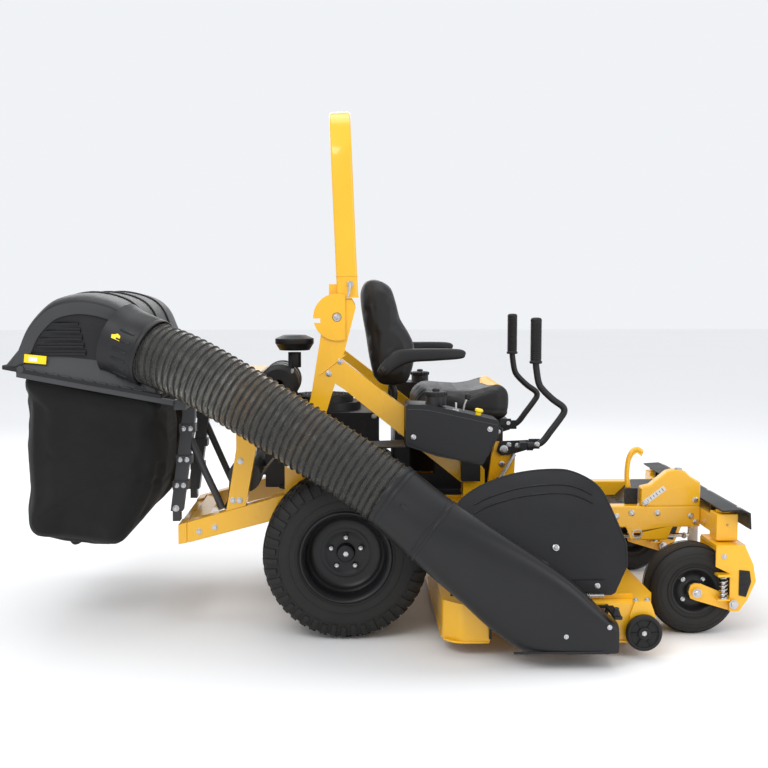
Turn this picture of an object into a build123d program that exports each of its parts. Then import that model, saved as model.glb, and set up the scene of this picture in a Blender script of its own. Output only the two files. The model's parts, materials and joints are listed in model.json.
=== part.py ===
# Zero turn mower with rear bagger, built part by part in one frame.
# Lengths in mm, +X forward, +Y to the operator's left, +Z up, ground at Z = 0.
# Helper functions take machine coordinates (X = 0 at the drive axle, Y = 0 at the centre line);
# XO and YO move them so that the row origin is under the middle of the bounding box.
import math
import os

from build123d import *

os.makedirs("parts", exist_ok=True)

# ---- driving dimensions ----
XO = -135.0            # drive axle to row origin
YO = 64.0              # centre line to row origin
DRIVE_R = 305.0        # 24 in drive tyre
DRIVE_W = 245.0
DRIVE_Y = 455.0
DRIVE_RIM_R = 152.4    # 12 in rim
LUG_PCD = 114.3
CASTER_R = 165.0       # 13 in caster tyre
CASTER_W = 150.0
CASTER_X = 1283.0
CASTER_Y = 470.0
PIVOT_X = 1407.0       # caster swivel axis
ARM_X, ARM_Z = 1415.0, 125.0
RAIL_IN, RAIL_OUT = 255.0, 315.0
DECK_HALF = 762.0      # 60 in deck
DECK_Z0, DECK_Z1 = 50.0, 186.0
BLADE_R = 245.0
BLADES = {"right": (690.0, -500.0), "centre": (810.0, 0.0), "left": (690.0, 500.0)}
HOSE_R, HOSE_WALL = 118.0, 5.0
HOOP_X, HOOP_LEAN = 9.0, 2.4   # foot of the hoop tube, and its lean to the rear in degrees
HOOD_HALF = 500.0
BAG_TILT = 10.62       # slope of the bag rails and hood rim, degrees
SIDES = (("right", -1), ("left", 1))


# ---- helpers in machine coordinates ----
def box(x0, x1, y0, y1, z0, z1, mode=Mode.ADD):
    with Locations(((x0 + x1) / 2 + XO, (y0 + y1) / 2 + YO, (z0 + z1) / 2)):
        Box(x1 - x0, abs(y1 - y0), z1 - z0, mode=mode)


def sbox(s, x0, x1, y0, y1, z0, z1, mode=Mode.ADD):
    box(x0, x1, min(s * y0, s * y1), max(s * y0, s * y1), z0, z1, mode)


def rod(x, y, z, axis, r, length, mode=Mode.ADD, r2=None):
    turn = {"x": (0, 90, 0), "y": (-90, 0, 0), "z": (0, 0, 0)}[axis]
    with Locations(Location((x + XO, y + YO, z), turn)):
        if r2 is None:
            Cylinder(r, length, mode=mode)
        else:
            Cone(r, r2, length, mode=mode)


def side(points, y0, y1, mode=Mode.ADD, r=0.0):
    # (x, z) outline carried across from y0 to y1
    lo, hi = min(y0, y1), max(y0, y1)
    with BuildSketch(Plane(origin=(XO, hi + YO, 0), x_dir=(1, 0, 0), z_dir=(0, -1, 0))) as sk:
        with BuildLine():
            Polyline(*points, close=True)
        make_face()
        if r:
            fillet(sk.vertices(), r)
    extrude(sk.sketch, amount=hi - lo, mode=mode)


def plan(points, z0, z1, mode=Mode.ADD, r=0.0):
    # (x, y) outline raised from z0 to z1
    with BuildSketch(Plane(origin=(XO, YO, z0), x_dir=(1, 0, 0), z_dir=(0, 0, 1))) as sk:
        with BuildLine():
            Polyline(*points, close=True)
        make_face()
        if r:
            fillet(sk.vertices(), r)
    extrude(sk.sketch, amount=z1 - z0, mode=mode)


def front(points, x0, x1, mode=Mode.ADD, r=0.0):
    # (y, z) outline carried forward from x0 to x1
    with BuildSketch(Plane(origin=(x0 + XO, YO, 0), x_dir=(0, 1, 0), z_dir=(1, 0, 0))) as sk:
        with BuildLine():
            Polyline(*points, close=True)
        make_face()
        if r:
            fillet(sk.vertices(), r)
    extrude(sk.sketch, amount=x1 - x0, mode=mode)


def pipe(points, r, bend=0.0, inner=0.0, smooth=False, ends=None):
    pts = [(x + XO, y + YO, z) for x, y, z in points]
    with BuildLine() as path:
        if smooth:
            Spline(*pts, tangents=ends) if ends else Spline(*pts)
        elif bend:
            FilletPolyline(*pts, radius=bend)
        else:
            Polyline(*pts)
    w = path.wires()[0]
    with BuildSketch(Plane(origin=w @ 0, z_dir=w % 0)) as sk:
        Circle(r)
        if inner:
            Circle(inner, mode=Mode.SUBTRACT)
    sweep(sk.sketch, path=w)


def duct(sections):
    # smooth duct through ((centre), (direction), half width, half height) rings
    rings = []
    for (x, y, z), heading, a, b in sections:
        with BuildSketch(Plane(origin=(x + XO, y + YO, z), x_dir=(0, 1, 0), z_dir=heading)) as sk:
            Ellipse(a, b)
        rings.append(sk.sketch.faces()[0])
    loft(rings)


def turned(profile, x, y, z, s=1):
    # (radius, y offset) outline turned about a wheel axle
    pts = [(a, z + r) for r, a in profile]
    with BuildSketch(Plane(origin=(x + XO, YO, 0), x_dir=(0, 1, 0), z_dir=(1, 0, 0))) as sk:
        with BuildLine():
            Polyline(*[(y + s * a, b) for a, b in pts], close=True)
        make_face()
    revolve(sk.sketch, axis=Axis((x + XO, y + YO, z), (0, 1, 0)))


def save(piece, name):
    piece.label = name
    export_step(piece, "parts/" + name + ".step")


# ---- chassis ----
RAIL = [(-607, 306), (-240, 400), (300, 400), (420, 356), (1367, 356), (1367, 438), (620, 438),
        (500, 487), (-240, 487), (-607, 385)]

with BuildPart() as frame_rail_right:
    side(RAIL, -RAIL_OUT, -RAIL_IN)
    side([(1080, 356), (1100, 306), (1240, 306), (1260, 356)], -RAIL_OUT, -RAIL_OUT + 8)
    rod(1124, -RAIL_OUT + 4, 330, "y", 14, 12, Mode.SUBTRACT)
frame_rail_right.part.label = "frame_rail_right"
save(frame_rail_right.part, "frame_rail_right")

with BuildPart() as frame_rail_left:
    side(RAIL, RAIL_IN, RAIL_OUT)
    side([(1080, 356), (1100, 306), (1240, 306), (1260, 356)], RAIL_OUT - 8, RAIL_OUT)
    rod(1124, RAIL_OUT - 4, 330, "y", 14, 12, Mode.SUBTRACT)
frame_rail_left.part.label = "frame_rail_left"
save(frame_rail_left.part, "frame_rail_left")

with BuildPart() as frame_cross_members:
    for x0, x1, z0, z1 in ((-600, -540, 330, 385), (-240, -190, 410, 470), (300, 360, 410, 470),
                           (900, 960, 340, 372)):
        box(x0, x1, -RAIL_IN, RAIL_IN, z0, z1)
frame_cross_members.part.label = "frame_cross_members"
save(frame_cross_members.part, "frame_cross_members")

with BuildPart() as lift_rods:
    for s in (-1, 1):
        sbox(s, 905, 955, 140, 152, 262, 340)
        sbox(s, 1372, 1410, 140, 152, 262, 365)
        rod(1160, s * 146, 287, "x", 9, 424)
lift_rods.part.label = "lift_rods"
save(lift_rods.part, "lift_rods")

with BuildPart() as front_axle:
    box(1367, 1443, -429, 429, 365, 430)
    for s in (-1, 1):
        sbox(s, PIVOT_X - 40, PIVOT_X + 40, 429, 511, 345, 446)
        rod(PIVOT_X, s * CASTER_Y, 420, "z", 21, 170, Mode.SUBTRACT)
front_axle.part.label = "front_axle"
save(front_axle.part, "front_axle")

with BuildPart() as rear_guard:
    for s in (-1, 1):
        side([(-457, 426.8), (-382, 447.6), (-341, 667), (-341, 865), (-416, 865), (-416, 667)],
             s * RAIL_IN, s * RAIL_OUT)
    box(-416, -341, -RAIL_OUT, RAIL_OUT, 865, 940)
    for s in (-1, 1):
        side([(-607, 306), (-607, 385), (-640, 376), (-640, 300)], s * 200, s * RAIL_OUT)
    box(-640, -607, -200, 200, 306, 372)
rear_guard.part.label = "rear_guard"
save(rear_guard.part, "rear_guard")

POST_IN, POST_OUT = 327.0, 403.0
with BuildPart() as rops_base:
    for s in (-1, 1):
        # mounting plate, post, forward brace and its foot
        sbox(s, -232, -90, RAIL_OUT, POST_IN, 400, 720)
        side([(-216, 590), (-140, 590), (-53, 874), (-3, 1042), (39, 1205), (25, 1232), (-40, 1232),
              (-72, 1215), (-90, 1106), (-128, 874)],
             s * POST_IN, s * POST_OUT)
        side([(-40, 1032), (-110, 968), (-4, 900), (430, 552), (520, 552), (520, 598)],
             s * POST_IN, s * POST_OUT)
        sbox(s, 440, 520, RAIL_OUT, POST_OUT, 440, 552)
        # slot in the post head for the hoop's tongue, and the hinge bolt hole
        sbox(s, -110, 70, 340, 390, 1095, 1240, Mode.SUBTRACT)
        # notched hinge plate outside the post head, spaced off it by a ring
        rod(-31, s * 409, 1169, "y", 87, 6)
        rod(-31, s * 404.5, 1169, "y", 38, 3.2)
        sbox(s, 0, 60, 406, 412, 1080, 1260, Mode.SUBTRACT)
        sbox(s, -125, -92, 406, 412, 1148, 1164, Mode.SUBTRACT)
        rod(-31, s * 410, 1169, "y", 17, 20, Mode.SUBTRACT)
        rod(-31, s * 365, 1169, "y", 9, 120, Mode.SUBTRACT)
rops_base.part.label = "rops_base"
save(rops_base.part, "rops_base")

with BuildPart() as rops_hoop:
    # square tube bent into a hoop, standing on tongues that sit in the post heads
    hw = 40.0
    lean = math.radians(HOOP_LEAN)
    foot = Plane(origin=(HOOP_X + XO, YO, 1242), x_dir=(0, 1, 0),
                 z_dir=(math.cos(lean), 0, math.sin(lean))).offset(-hw)
    with BuildSketch(foot) as hoop:
        with BuildLine():
            Polyline((-405, 0), (-405, 548), (-330, 694.9), (330, 694.9), (405, 548), (405, 0),
                     (325, 0), (325, 523), (275, 614), (-275, 614), (-325, 523), (-325, 0),
                     close=True)
        make_face()
        fillet(hoop.vertices().filter_by(lambda v: v.Z > 1700), 40)
    extrude(hoop.sketch, amount=2 * hw)
    for s in (-1, 1):
        sbox(s, -61, -1, 341, 389, 1125, 1300)
        rod(-31, s * 365, 1169, "y", 8.5, 96)
        for e in (-1, 1):
            rod(-31, s * (365 + e * 45), 1169, "y", 15, 10)
        # lock pin with its ring above the hinge
        rod(18, s * 365, 1290, "y", 7, 110)
rops_hoop.part.label = "rops_hoop"
save(rops_hoop.part, "rops_hoop")

with BuildPart() as floor_pan:
    # tray sunk between the rails, with a raised toe end and the pedal's bracket
    side([(640, 372), (1170, 372), (1240, 440), (1366, 440), (1366, 446), (1237, 446), (1167, 378),
          (640, 378)], -RAIL_IN, RAIL_IN)
    box(1085, 1134, -268, -252, 438, 500)
floor_pan.part.label = "floor_pan"
save(floor_pan.part, "floor_pan")

with BuildPart() as dial_housing:
    # cutting height dial housing on the right rail
    side([(1136, 438), (1136, 512), (1171, 520), (1236, 573), (1262, 579), (1305, 574), (1326, 553),
          (1366, 530), (1366, 438)], -RAIL_OUT, -RAIL_OUT + 47)
dial_housing.part.label = "dial_housing"
save(dial_housing.part, "dial_housing")

with BuildPart() as front_guard:
    # foot guard over the axle, with a skirt in front and feet on the axle
    side([(1372, 468), (1440, 472), (1476, 458), (1480, 398), (1474, 398), (1470, 454), (1438, 466),
          (1372, 462)], -560, 560, r=1.5)
    for s in (-1, 1):
        sbox(s, 1380, 1430, 90, 110, 430, 464)
        sbox(s, 1380, 1430, 380, 400, 430, 464)
front_guard.part.label = "front_guard"
save(front_guard.part, "front_guard")

for name, s in SIDES:
    with BuildPart() as side_pod:
        side([(217, 711), (217, 861), (300, 858), (555, 800), (550, 740), (495, 640), (330, 672)],
             s * 415, s * 560, r=12)
        # filler cap and the ledge that ties the pod to the brace foot
        rod(330, s * 490, 868, "z", 38, 34)
        sbox(s, 430, 500, 404, 440, 560, 662)
    side_pod.part.label = "side_pod_" + name
    save(side_pod.part, "side_pod_" + name)

with BuildPart() as rear_fenders:
    for s in (-1, 1):
        side([(-300, 600), (-236, 684), (-226, 690), (216, 705), (216, 712), (-230, 697), (-306, 604)],
             s * 404, s * 568)
rear_fenders.part.label = "rear_fenders"
save(rear_fenders.part, "rear_fenders")

with BuildPart() as seat_box:
    box(190, 610, -245, 245, 487, 735)
    box(196, 604, -239, 239, 480, 729, Mode.SUBTRACT)
    box(250, 340, -245, -238, 560, 660, Mode.SUBTRACT)
    for s in (-1, 1):
        sbox(s, 190, 500, 239, RAIL_OUT, 487, 493)
seat_box.part.label = "seat_box"
save(seat_box.part, "seat_box")

with BuildPart() as control_towers:
    for s in (-1, 1):
        side([(540, 474), (560, 630), (575, 685), (640, 685), (652, 640), (645, 438), (620, 438)],
             s * RAIL_IN, s * 284)
control_towers.part.label = "control_towers"
save(control_towers.part, "control_towers")

with BuildPart() as engine_block:
    box(-320, 140, -130, 130, 487, 640)
    for s in (-1, 1):
        # finned cylinders of the V twin
        sbox(s, -220, -70, 130, 138, 506, 618)
        for i in range(7):
            y = 138 + i * 11
            sbox(s, -240, -50, y, y + 5, 492, 632)
            sbox(s, -220, -70, y + 5, y + 11, 506, 618)
        sbox(s, -235, -55, 215, 243, 500, 624)
engine_block.part.label = "engine_block"
save(engine_block.part, "engine_block")

with BuildPart() as engine_shroud:
    box(-310, 130, -190, 190, 640, 790)
    rod(-90, 0, 805, "z", 150, 30)
    rod(-90, 0, 832, "z", 120, 24)
engine_shroud.part.label = "engine_shroud"
save(engine_shroud.part, "engine_shroud")

with BuildPart() as air_cleaner:
    rod(-262, -30, 900, "y", 75, 300)
    rod(-262, -184, 900, "y", 60, 10)
    rod(-205, -60, 990, "z", 26, 60)
    rod(-205, -60, 1042, "z", 60, 26, r2=76)
    rod(-205, -60, 1065, "z", 77, 20)
    rod(-205, -60, 1082, "z", 77, 14, r2=45)
    box(-300, -245, -120, 80, 790, 850)
air_cleaner.part.label = "air_cleaner"
save(air_cleaner.part, "air_cleaner")

with BuildPart() as muffler:
    rod(-395, 0, 545, "y", 62, 420)
    for s in (-1, 1):
        sbox(s, -345, -321, 60, 90, 530, 560)
    rod(-440, -150, 480, "z", 20, 130)
muffler.part.label = "muffler"
save(muffler.part, "muffler")

with BuildPart() as transaxles:
    for s in (-1, 1):
        sbox(s, -110, 110, 130, 300, 240, 399)
        rod(0, s * 380, DRIVE_R, "y", 20, 160)
        rod(0, s * 310, DRIVE_R, "y", 48, 20)
        rod(60, s * 200, 415, "z", 40, 40)
transaxles.part.label = "transaxles"
save(transaxles.part, "transaxles")

# ---- drive wheels ----
for name, s in SIDES:
    w, r = DRIVE_W / 2, DRIVE_R
    with BuildPart() as rear_tyre:
        turned([(DRIVE_RIM_R + 6, -w + 30), (DRIVE_RIM_R + 10, -w + 14), (200, -w + 2), (250, -w),
                (282, -w + 8), (298, -w + 26), (r, -w + 60), (r, w - 60), (298, w - 26), (282, w - 8),
                (250, w), (200, w - 2), (180, w - 6), (171, w - 12), (168.9, w - 15), (160, w - 25),
                (154, w - 32), (DRIVE_RIM_R + 1.2, -w + 31)], 0, s * DRIVE_Y, DRIVE_R, s)
    rear_tyre.part.label = "rear_tyre_" + name
    save(rear_tyre.part, "rear_tyre_" + name)

    with BuildPart() as rear_rim:
        # barrel with flared lips, dished disc and hub; profile offsets point outwards
        turned([(DRIVE_RIM_R - 8, -w + 16), (DRIVE_RIM_R + 8, -w + 10), (DRIVE_RIM_R + 1, -w + 30),
                (DRIVE_RIM_R + 1, w - 30), (DRIVE_RIM_R + 16, w - 14), (DRIVE_RIM_R + 14, w - 6),
                (DRIVE_RIM_R - 6, w - 28), (DRIVE_RIM_R - 22, 44), (100, 22), (62, 14), (34, 14),
                (34, 4), (60, 4), (100, 10), (DRIVE_RIM_R - 22, 30), (DRIVE_RIM_R - 8, 20)],
               0, s * DRIVE_Y, DRIVE_R, s)
        rod(0, s * (DRIVE_Y + 18), DRIVE_R, "y", 36, 34)
        rod(0, s * (DRIVE_Y + 4), DRIVE_R, "y", 22, 16, Mode.SUBTRACT)
        for i in range(5):
            a = math.radians(90 + 72 * i)
            rod(LUG_PCD / 2 * math.cos(a), s * (DRIVE_Y + 22), DRIVE_R + LUG_PCD / 2 * math.sin(a),
                "y", 11, 22)
    rear_rim.part.label = "rear_rim_" + name
    save(rear_rim.part, "rear_rim_" + name)

# ---- front casters ----
for name, s in SIDES:
    cy = s * CASTER_Y
    with BuildPart() as caster_fork:
        rod(PIVOT_X, cy, 387, "z", 19.5, 124)
        rod(PIVOT_X, cy, 452.5, "z", 30, 9)
        plan([(1350, cy - 97), (1460, cy - 97), (1460, cy + 97), (1350, cy + 97)], 329, 341, r=8)
        for e in (-1, 1):
            side([(1350, 333), (1459, 333), (1488, 270), (1499, 208), (1470, 140), (1439, 96),
                  (1404, 96), (1402, 236), (1350, 262)], cy + e * 89, cy + e * 97)
            side([(1352, 229), (1404, 229), (1404, 237), (1352, 237)], cy + e * 79, cy + e * 121)
            rod(ARM_X, cy + e * 91, ARM_Z, "y", 9, 18)
            rod(ARM_X, cy + e * 103, ARM_Z, "y", 15, 12)
    caster_fork.part.label = "caster_fork_" + name
    save(caster_fork.part, "caster_fork_" + name)

    with BuildPart() as caster_arm:
        for e in (-1, 1):
            side([(1262, 190), (1255, 165), (1262, 142), (1283, 134), (1405, 97), (1432, 104),
                  (1440, 125), (1432, 145), (1405, 152), (1300, 196), (1278, 198)],
                 cy + e * 78, cy + e * 86)
            rod(ARM_X, cy + e * 82, ARM_Z, "y", 9.5, 30, Mode.SUBTRACT)
            side([(1352, 141), (1397, 141), (1397, 147), (1352, 147)], cy + e * 86, cy + e * 121)
            rod(CASTER_X, cy + e * 92, CASTER_R, "y", 16, 12)
        rod(CASTER_X, cy, CASTER_R, "y", 10, 160)
    caster_arm.part.label = "caster_arm_" + name
    save(caster_arm.part, "caster_arm_" + name)

    with BuildPart() as caster_spring:
        for e in (-1, 1):
            rod(1376, cy + e * 104.5, 188, "z", 15, 81.4)
            rod(1376, cy + e * 104.5, 188, "z", 10, 90, Mode.SUBTRACT)
    caster_spring.part.label = "caster_spring_" + name
    save(caster_spring.part, "caster_spring_" + name)

    w, r = CASTER_W / 2, CASTER_R
    with BuildPart() as caster_tyre:
        turned([(78, -w + 22), (90, -w + 9.5), (100, -w + 2), (130, -w), (152, -w + 12),
                (162, -w + 34), (r, -w + 55), (r, w - 55), (162, w - 34), (152, w - 12), (130, w),
                (100, w - 2), (90, w - 9.5), (78, w - 22)], CASTER_X, cy, CASTER_R)
    caster_tyre.part.label = "caster_tyre_" + name
    save(caster_tyre.part, "caster_tyre_" + name)

    with BuildPart() as caster_rim:
        turned([(12, -w + 4), (30, -w + 4), (34, -w + 24), (62, -w + 22), (84, -w + 4), (88, -w + 8),
                (77.6, -w + 20), (77.6, w - 20), (88, w - 8), (84, w - 4), (62, w - 22), (34, w - 24),
                (30, w - 4), (12, w - 4)], CASTER_X, cy, CASTER_R)
    caster_rim.part.label = "caster_rim_" + name
    save(caster_rim.part, "caster_rim_" + name)

# ---- steering levers ----
BAR_Y = 318.0
for name, s in SIDES:
    with BuildPart() as lap_pivot:
        side([(578, 650), (590, 690), (700, 694), (712, 684), (708, 660), (640, 640), (598, 634)],
             s * 288, s * 296)
        rod(605, s * 286.3, 660, "y", 12, 3.4)
        rod(605, s * 300, 660, "y", 16, 8)
        sbox(s, 664, 690, 296, 334, 662, 690)
    lap_pivot.part.label = "lap_pivot_" + name
    save(lap_pivot.part, "lap_pivot_" + name)

    with BuildPart() as lap_bar:
        pipe([(696, s * BAR_Y, 673), (752, s * BAR_Y, 692), (836, s * BAR_Y, 806),
              (737, s * BAR_Y, 902), (722, s * BAR_Y, 985), (722, s * BAR_Y, 1158)], 13, bend=34)
        rod(703, s * BAR_Y, 674, "x", 17, 22)
    lap_bar.part.label = "lap_bar_" + name
    save(lap_bar.part, "lap_bar_" + name)

    with BuildPart() as lap_grip:
        rod(722, s * BAR_Y, 1082, "z", 22, 164)
        rod(722, s * BAR_Y, 1078, "z", 13.05, 164, Mode.SUBTRACT)
        rod(722, s * BAR_Y, 996, "z", 24, 8)
        rod(722, s * BAR_Y, 996, "z", 13.05, 10, Mode.SUBTRACT)
    lap_grip.part.label = "lap_grip_" + name
    save(lap_grip.part, "lap_grip_" + name)

# ---- seat ----
with BuildPart() as seat_cushion:
    side([(250, 768), (262, 850), (300, 876), (480, 872), (560, 890), (625, 903), (652, 880),
          (650, 800), (630, 768)], -235, 235, r=10)
    for s in (-1, 1):
        side([(280, 772), (300, 872), (480, 868), (640, 896), (640, 780)], s * 235, s * 250)
    box(240, 630, -215, 215, 739, 768)
    rod(632, 0, 752, "y", 8, 462)
seat_cushion.part.label = "seat_cushion"
save(seat_cushion.part, "seat_cushion")

with BuildPart() as seat_back:
    side([(120, 885), (100, 960), (66, 1150), (60, 1290), (67, 1323), (120, 1330), (170, 1300),
          (200, 1200), (245, 1120), (270, 1040), (262, 950), (245, 885)], -232, 232, r=14)
    for s in (-1, 1):
        side([(128, 900), (76, 1150), (70, 1280), (150, 1285), (185, 1190), (262, 1060), (240, 900)],
             s * 232, s * 246)
        sbox(s, 135, 235, 150, 190, 768, 885)
        sbox(s, 200, 240, 150, 190, 745, 768)
        rod(145, s * 251, 964, "y", 12, 10)
seat_back.part.label = "seat_back"
save(seat_back.part, "seat_back")

for name, s in SIDES:
    with BuildPart() as armrest:
        side([(118, 950), (130, 985), (196, 1045), (450, 1045), (458, 1030), (440, 1004), (250, 992),
              (172, 950), (145, 938)], s * 257, s * 291, r=8)
        rod(145, s * 294, 964, "y", 14, 6)
    armrest.part.label = "armrest_" + name
    save(armrest.part, "armrest_" + name)

# ---- mower deck ----
OUT = [(339, -700), (400, -DECK_HALF), (1010, -DECK_HALF), (1096, -640), (1096, 640),
       (1010, DECK_HALF), (400, DECK_HALF), (339, 700)]
INN = [(344, -698), (402, -DECK_HALF + 5), (1007, -DECK_HALF + 5), (1091, -638), (1091, 638),
       (1007, DECK_HALF - 5), (402, DECK_HALF - 5), (344, 698)]
with BuildPart() as deck_shell:
    plan(OUT, DECK_Z0, DECK_Z1, r=30)
    plan(INN, DECK_Z0 - 5, DECK_Z1 - 6, Mode.SUBTRACT, r=26)
    box(500, 905, -DECK_HALF - 10, -DECK_HALF + 20, 40, 172, Mode.SUBTRACT)
    for x, y in BLADES.values():
        rod(x, y, 186, "z", 60, 16)
        rod(x, y, 186, "z", 15.6, 40, Mode.SUBTRACT)
    for s in (-1, 1):
        # hanger ears for the lift rods, and the anti-scalp wheel brackets
        sbox(s, 1040, 1080, 112, 124, 186, 262)
        sbox(s, 940, 980, 112, 124, 186, 262)
        side([(985, 140), (1000, 186), (1060, 186), (1090, 100), (1075, 62), (1030, 62), (1000, 90)],
             s * 764, s * 772)
        sbox(s, 1002, 1058, 740, 772, 186, 192)
        rod(1031, s * 780, 88, "y", 9, 20)
deck_shell.part.label = "deck_shell"
save(deck_shell.part, "deck_shell")

with BuildPart() as belt_covers:
    for s in (-1, 1):
        x0, y0 = BLADES["right"][0], s * 500
        plan([(560, y0 - 130), (820, y0 - 130), (980, y0 - s * 60 - 60), (980, y0 - s * 60 + 60),
              (820, y0 + 130), (560, y0 + 130)], 187, 258, r=25)
        plan([(564, y0 - 126), (818, y0 - 126), (976, y0 - s * 60 - 58), (976, y0 - s * 60 + 58),
              (818, y0 + 126), (564, y0 + 126)], 180, 254, Mode.SUBTRACT, r=22)
belt_covers.part.label = "belt_covers"
save(belt_covers.part, "belt_covers")

for name, (x, y) in BLADES.items():
    with BuildPart() as blade:
        rod(x, y, 143, "z", 15, 142)
        rod(x, y, 84, "z", 40, 14)
        rod(x, y, 214, "z", 72, 18)
        box(x - 32, x + 32, y - BLADE_R + 4, y + BLADE_R - 4, 71, 77)
        for e in (-1, 1):
            # raised sail on the trailing edge of each tip
            front([(y + e * 130, 77), (y + e * (BLADE_R - 8), 77), (y + e * (BLADE_R - 8), 97),
                   (y + e * 160, 97)], x - e * 32 - 3, x - e * 32 + 3)
    blade.part.label = "blade_" + name
    save(blade.part, "blade_" + name)

for name, s in SIDES:
    with BuildPart() as anti_scalp:
        rod(1031, s * 788, 88, "y", 63, 28)
        rod(1031, s * 788, 88, "y", 9.5, 40, Mode.SUBTRACT)
    anti_scalp.part.label = "anti_scalp_wheel_" + name
    save(anti_scalp.part, "anti_scalp_wheel_" + name)

with BuildPart() as deflector:
    # curved sheet standing on its hinge, trimmed to a dome outline
    front([(-742, 214), (-704, 400), (-668, 530), (-596, 628), (-592, 624), (-663, 526),
           (-698, 398), (-736, 213)], 368, 990)
    with BuildSketch(Plane(origin=(XO, -500 + YO, 0), x_dir=(1, 0, 0), z_dir=(0, -1, 0))) as dome:
        with BuildLine():
            Polyline((368, 205), (368, 470), (400, 525), (477, 575), (600, 615), (735, 629),
                     (820, 618), (898, 572), (940, 490), (986, 373), (984, 300), (938, 205), close=True)
        make_face()
        fillet(dome.vertices().filter_by(lambda v: v.Z > 480), 30)
    extrude(dome.sketch, amount=300, mode=Mode.INTERSECT)
    rod(653, -739, 206, "x", 8, 500)
deflector.part.label = "deflector"
save(deflector.part, "deflector")

# ---- discharge boot and hose ----
NECK_DIR = (-0.79, 0.25, 0.56)
BOOT = [((650, -851, 190), (-0.8, 0.01, 0.6), 77, 168),
        ((470, -849, 325), (-0.8, 0.06, 0.6), 80, 140),
        ((298, -812, 455), (-0.79, 0.2, 0.58), 112, 122),
        ((150, -764, 572), NECK_DIR, 118, 118)]
BOOT_IN = [((658, -851, 184), (-0.8, 0.01, 0.6), 72, 162),
           ((470, -849, 325), (-0.8, 0.06, 0.6), 75, 135),
           ((298, -812, 455), (-0.79, 0.2, 0.58), 107, 117),
           ((147.6, -763.2, 573.7), NECK_DIR, 113, 113)]
BASE = [(485, 58), (478, 100), (560, 300), (700, 345), (833, 288), (905, 206), (919, 190), (919, 58)]
BASE_IN = [(491, 64), (484, 102), (564, 296), (699, 339), (830, 283), (900, 203), (913, 187), (913, 64)]
with BuildPart() as boot_inside:
    side(BASE_IN, -924, -778, r=9)
    duct(BOOT_IN)
    box(300, 700, -1000, -600, -60, 64, Mode.SUBTRACT)
    box(500, 905, -790, -760, 70, 172)

with BuildPart() as boot:
    side(BASE, -930, -772, r=14)
    duct(BOOT)
    box(300, 700, -1000, -600, -60, 58, Mode.SUBTRACT)
    add(boot_inside.part, mode=Mode.SUBTRACT)
boot.part.label = "boot"
save(boot.part, "boot")

HOSE = [(149.0, -763.7, 572.8), (-155, -680, 766), (-516, -560, 971), (-710, -479.2, 1046.8)]
with BuildPart() as hose:
    pipe(HOSE, HOSE_R, inner=HOSE_R - HOSE_WALL, smooth=True, ends=(NECK_DIR, (-0.876, 0.364, 0.341)))
hose.part.label = "hose"
save(hose.part, "hose")

# ---- bagger ----
HOOD = [(-1229, 995), (-1196, 1024), (-1146, 1143), (-1100, 1205), (-1046, 1244), (-961, 1262),
        (-880, 1250), (-812, 1227), (-775, 1180), (-753, 1129), (-669, 890)]
HOOD_IN = [(-1260, 1000), (-1190, 1022), (-1141, 1141), (-1096, 1201), (-1043, 1239),
           (-961, 1256.5), (-881, 1245), (-815, 1222), (-779, 1177), (-758, 1127), (-672, 870),
           (-660, 840)]
COLLAR = [(-690, -487.5, 1039), (-815, -435.5, 1087.7)]
with BuildPart() as hood_bore:
    pipe([(-602.4, -523.9, 1004.9), (-850, -421, 1101.4)], 122)

with BuildPart() as hood:
    side(HOOD, -HOOD_HALF, HOOD_HALF)
    side([(-1224, 993), (-1192, 1022), (-1142, 1141), (-1097, 1201), (-1044, 1239), (-961, 1256.5),
          (-881, 1245), (-815, 1222), (-779, 1177), (-758, 1127), (-675, 890), (-670, 840),
          (-1240, 900)], -HOOD_HALF + 5, HOOD_HALF - 5, Mode.SUBTRACT)
    pipe(COLLAR, 127)
    add(hood_bore.part, mode=Mode.SUBTRACT)
    for s in (-1, 1):
        sbox(s, -672, -648, 300, 340, 884, 912)
hood.part.label = "hood"
save(hood.part, "hood")

slope = math.tan(math.radians(BAG_TILT))
with BuildPart() as bagger_frame:
    for s in (-1, 1):
        side([(-676, 419), (-630, 419), (-578, 785), (-578, 872), (-618, 872), (-626, 785)],
             s * 215, s * 265)
        sbox(s, -668, -640, 215, 265, 380, 440)
        # hinge posts for the hood
        sbox(s, -618, -578, 262, 298, 830, 905)
        rod(-634, s * 291, 892, "y", 7, 14)
        sbox(s, -640, -610, 284, 298, 872, 905)
    box(-620, -578, -496, 496, 836, 872)
    for y in (-500, 0, 500):
        side([(-620, 872), (-620, 852), (-1180, 852 + 560 * slope), (-1180, 872 + 560 * slope)],
             y - 5, y + 5)
bagger_frame.part.label = "bagger_frame"
save(bagger_frame.part, "bagger_frame")

BAG = [(-1160, 968), (-678, 877.6), (-664, 780), (-664, 640), (-720, 470), (-820, 309),
       (-1000, 330), (-1182, 356), (-1186, 600), (-1176, 800)]
BAG_IN = [(-1156, 980), (-682, 890), (-668, 780), (-668, 641), (-724, 473), (-822, 314),
          (-1000, 334), (-1178, 360), (-1182, 600), (-1172, 800)]
for name, s in SIDES:
    with BuildPart() as bag:
        side(BAG, s * 10, s * 490)
        side(BAG_IN, s * 14, s * 486, Mode.SUBTRACT)
    bag.part.label = "bag_" + name
    save(bag.part, "bag_" + name)

# ---- deck lift pedal ----
with BuildPart() as lift_pedal:
    side([(1102, 470), (1091, 540), (1096, 610), (1110, 645), (1135, 656), (1160, 640), (1152, 622),
          (1136, 636), (1120, 626), (1108, 600), (1104, 545), (1118, 474)], -246, -234)
    rod(1110, -240, 470, "y", 16, 20)
lift_pedal.part.label = "lift_pedal"
save(lift_pedal.part, "lift_pedal")
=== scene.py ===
import json
import math
import random
import bpy
import bmesh
from mathutils import Matrix, Vector


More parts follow.
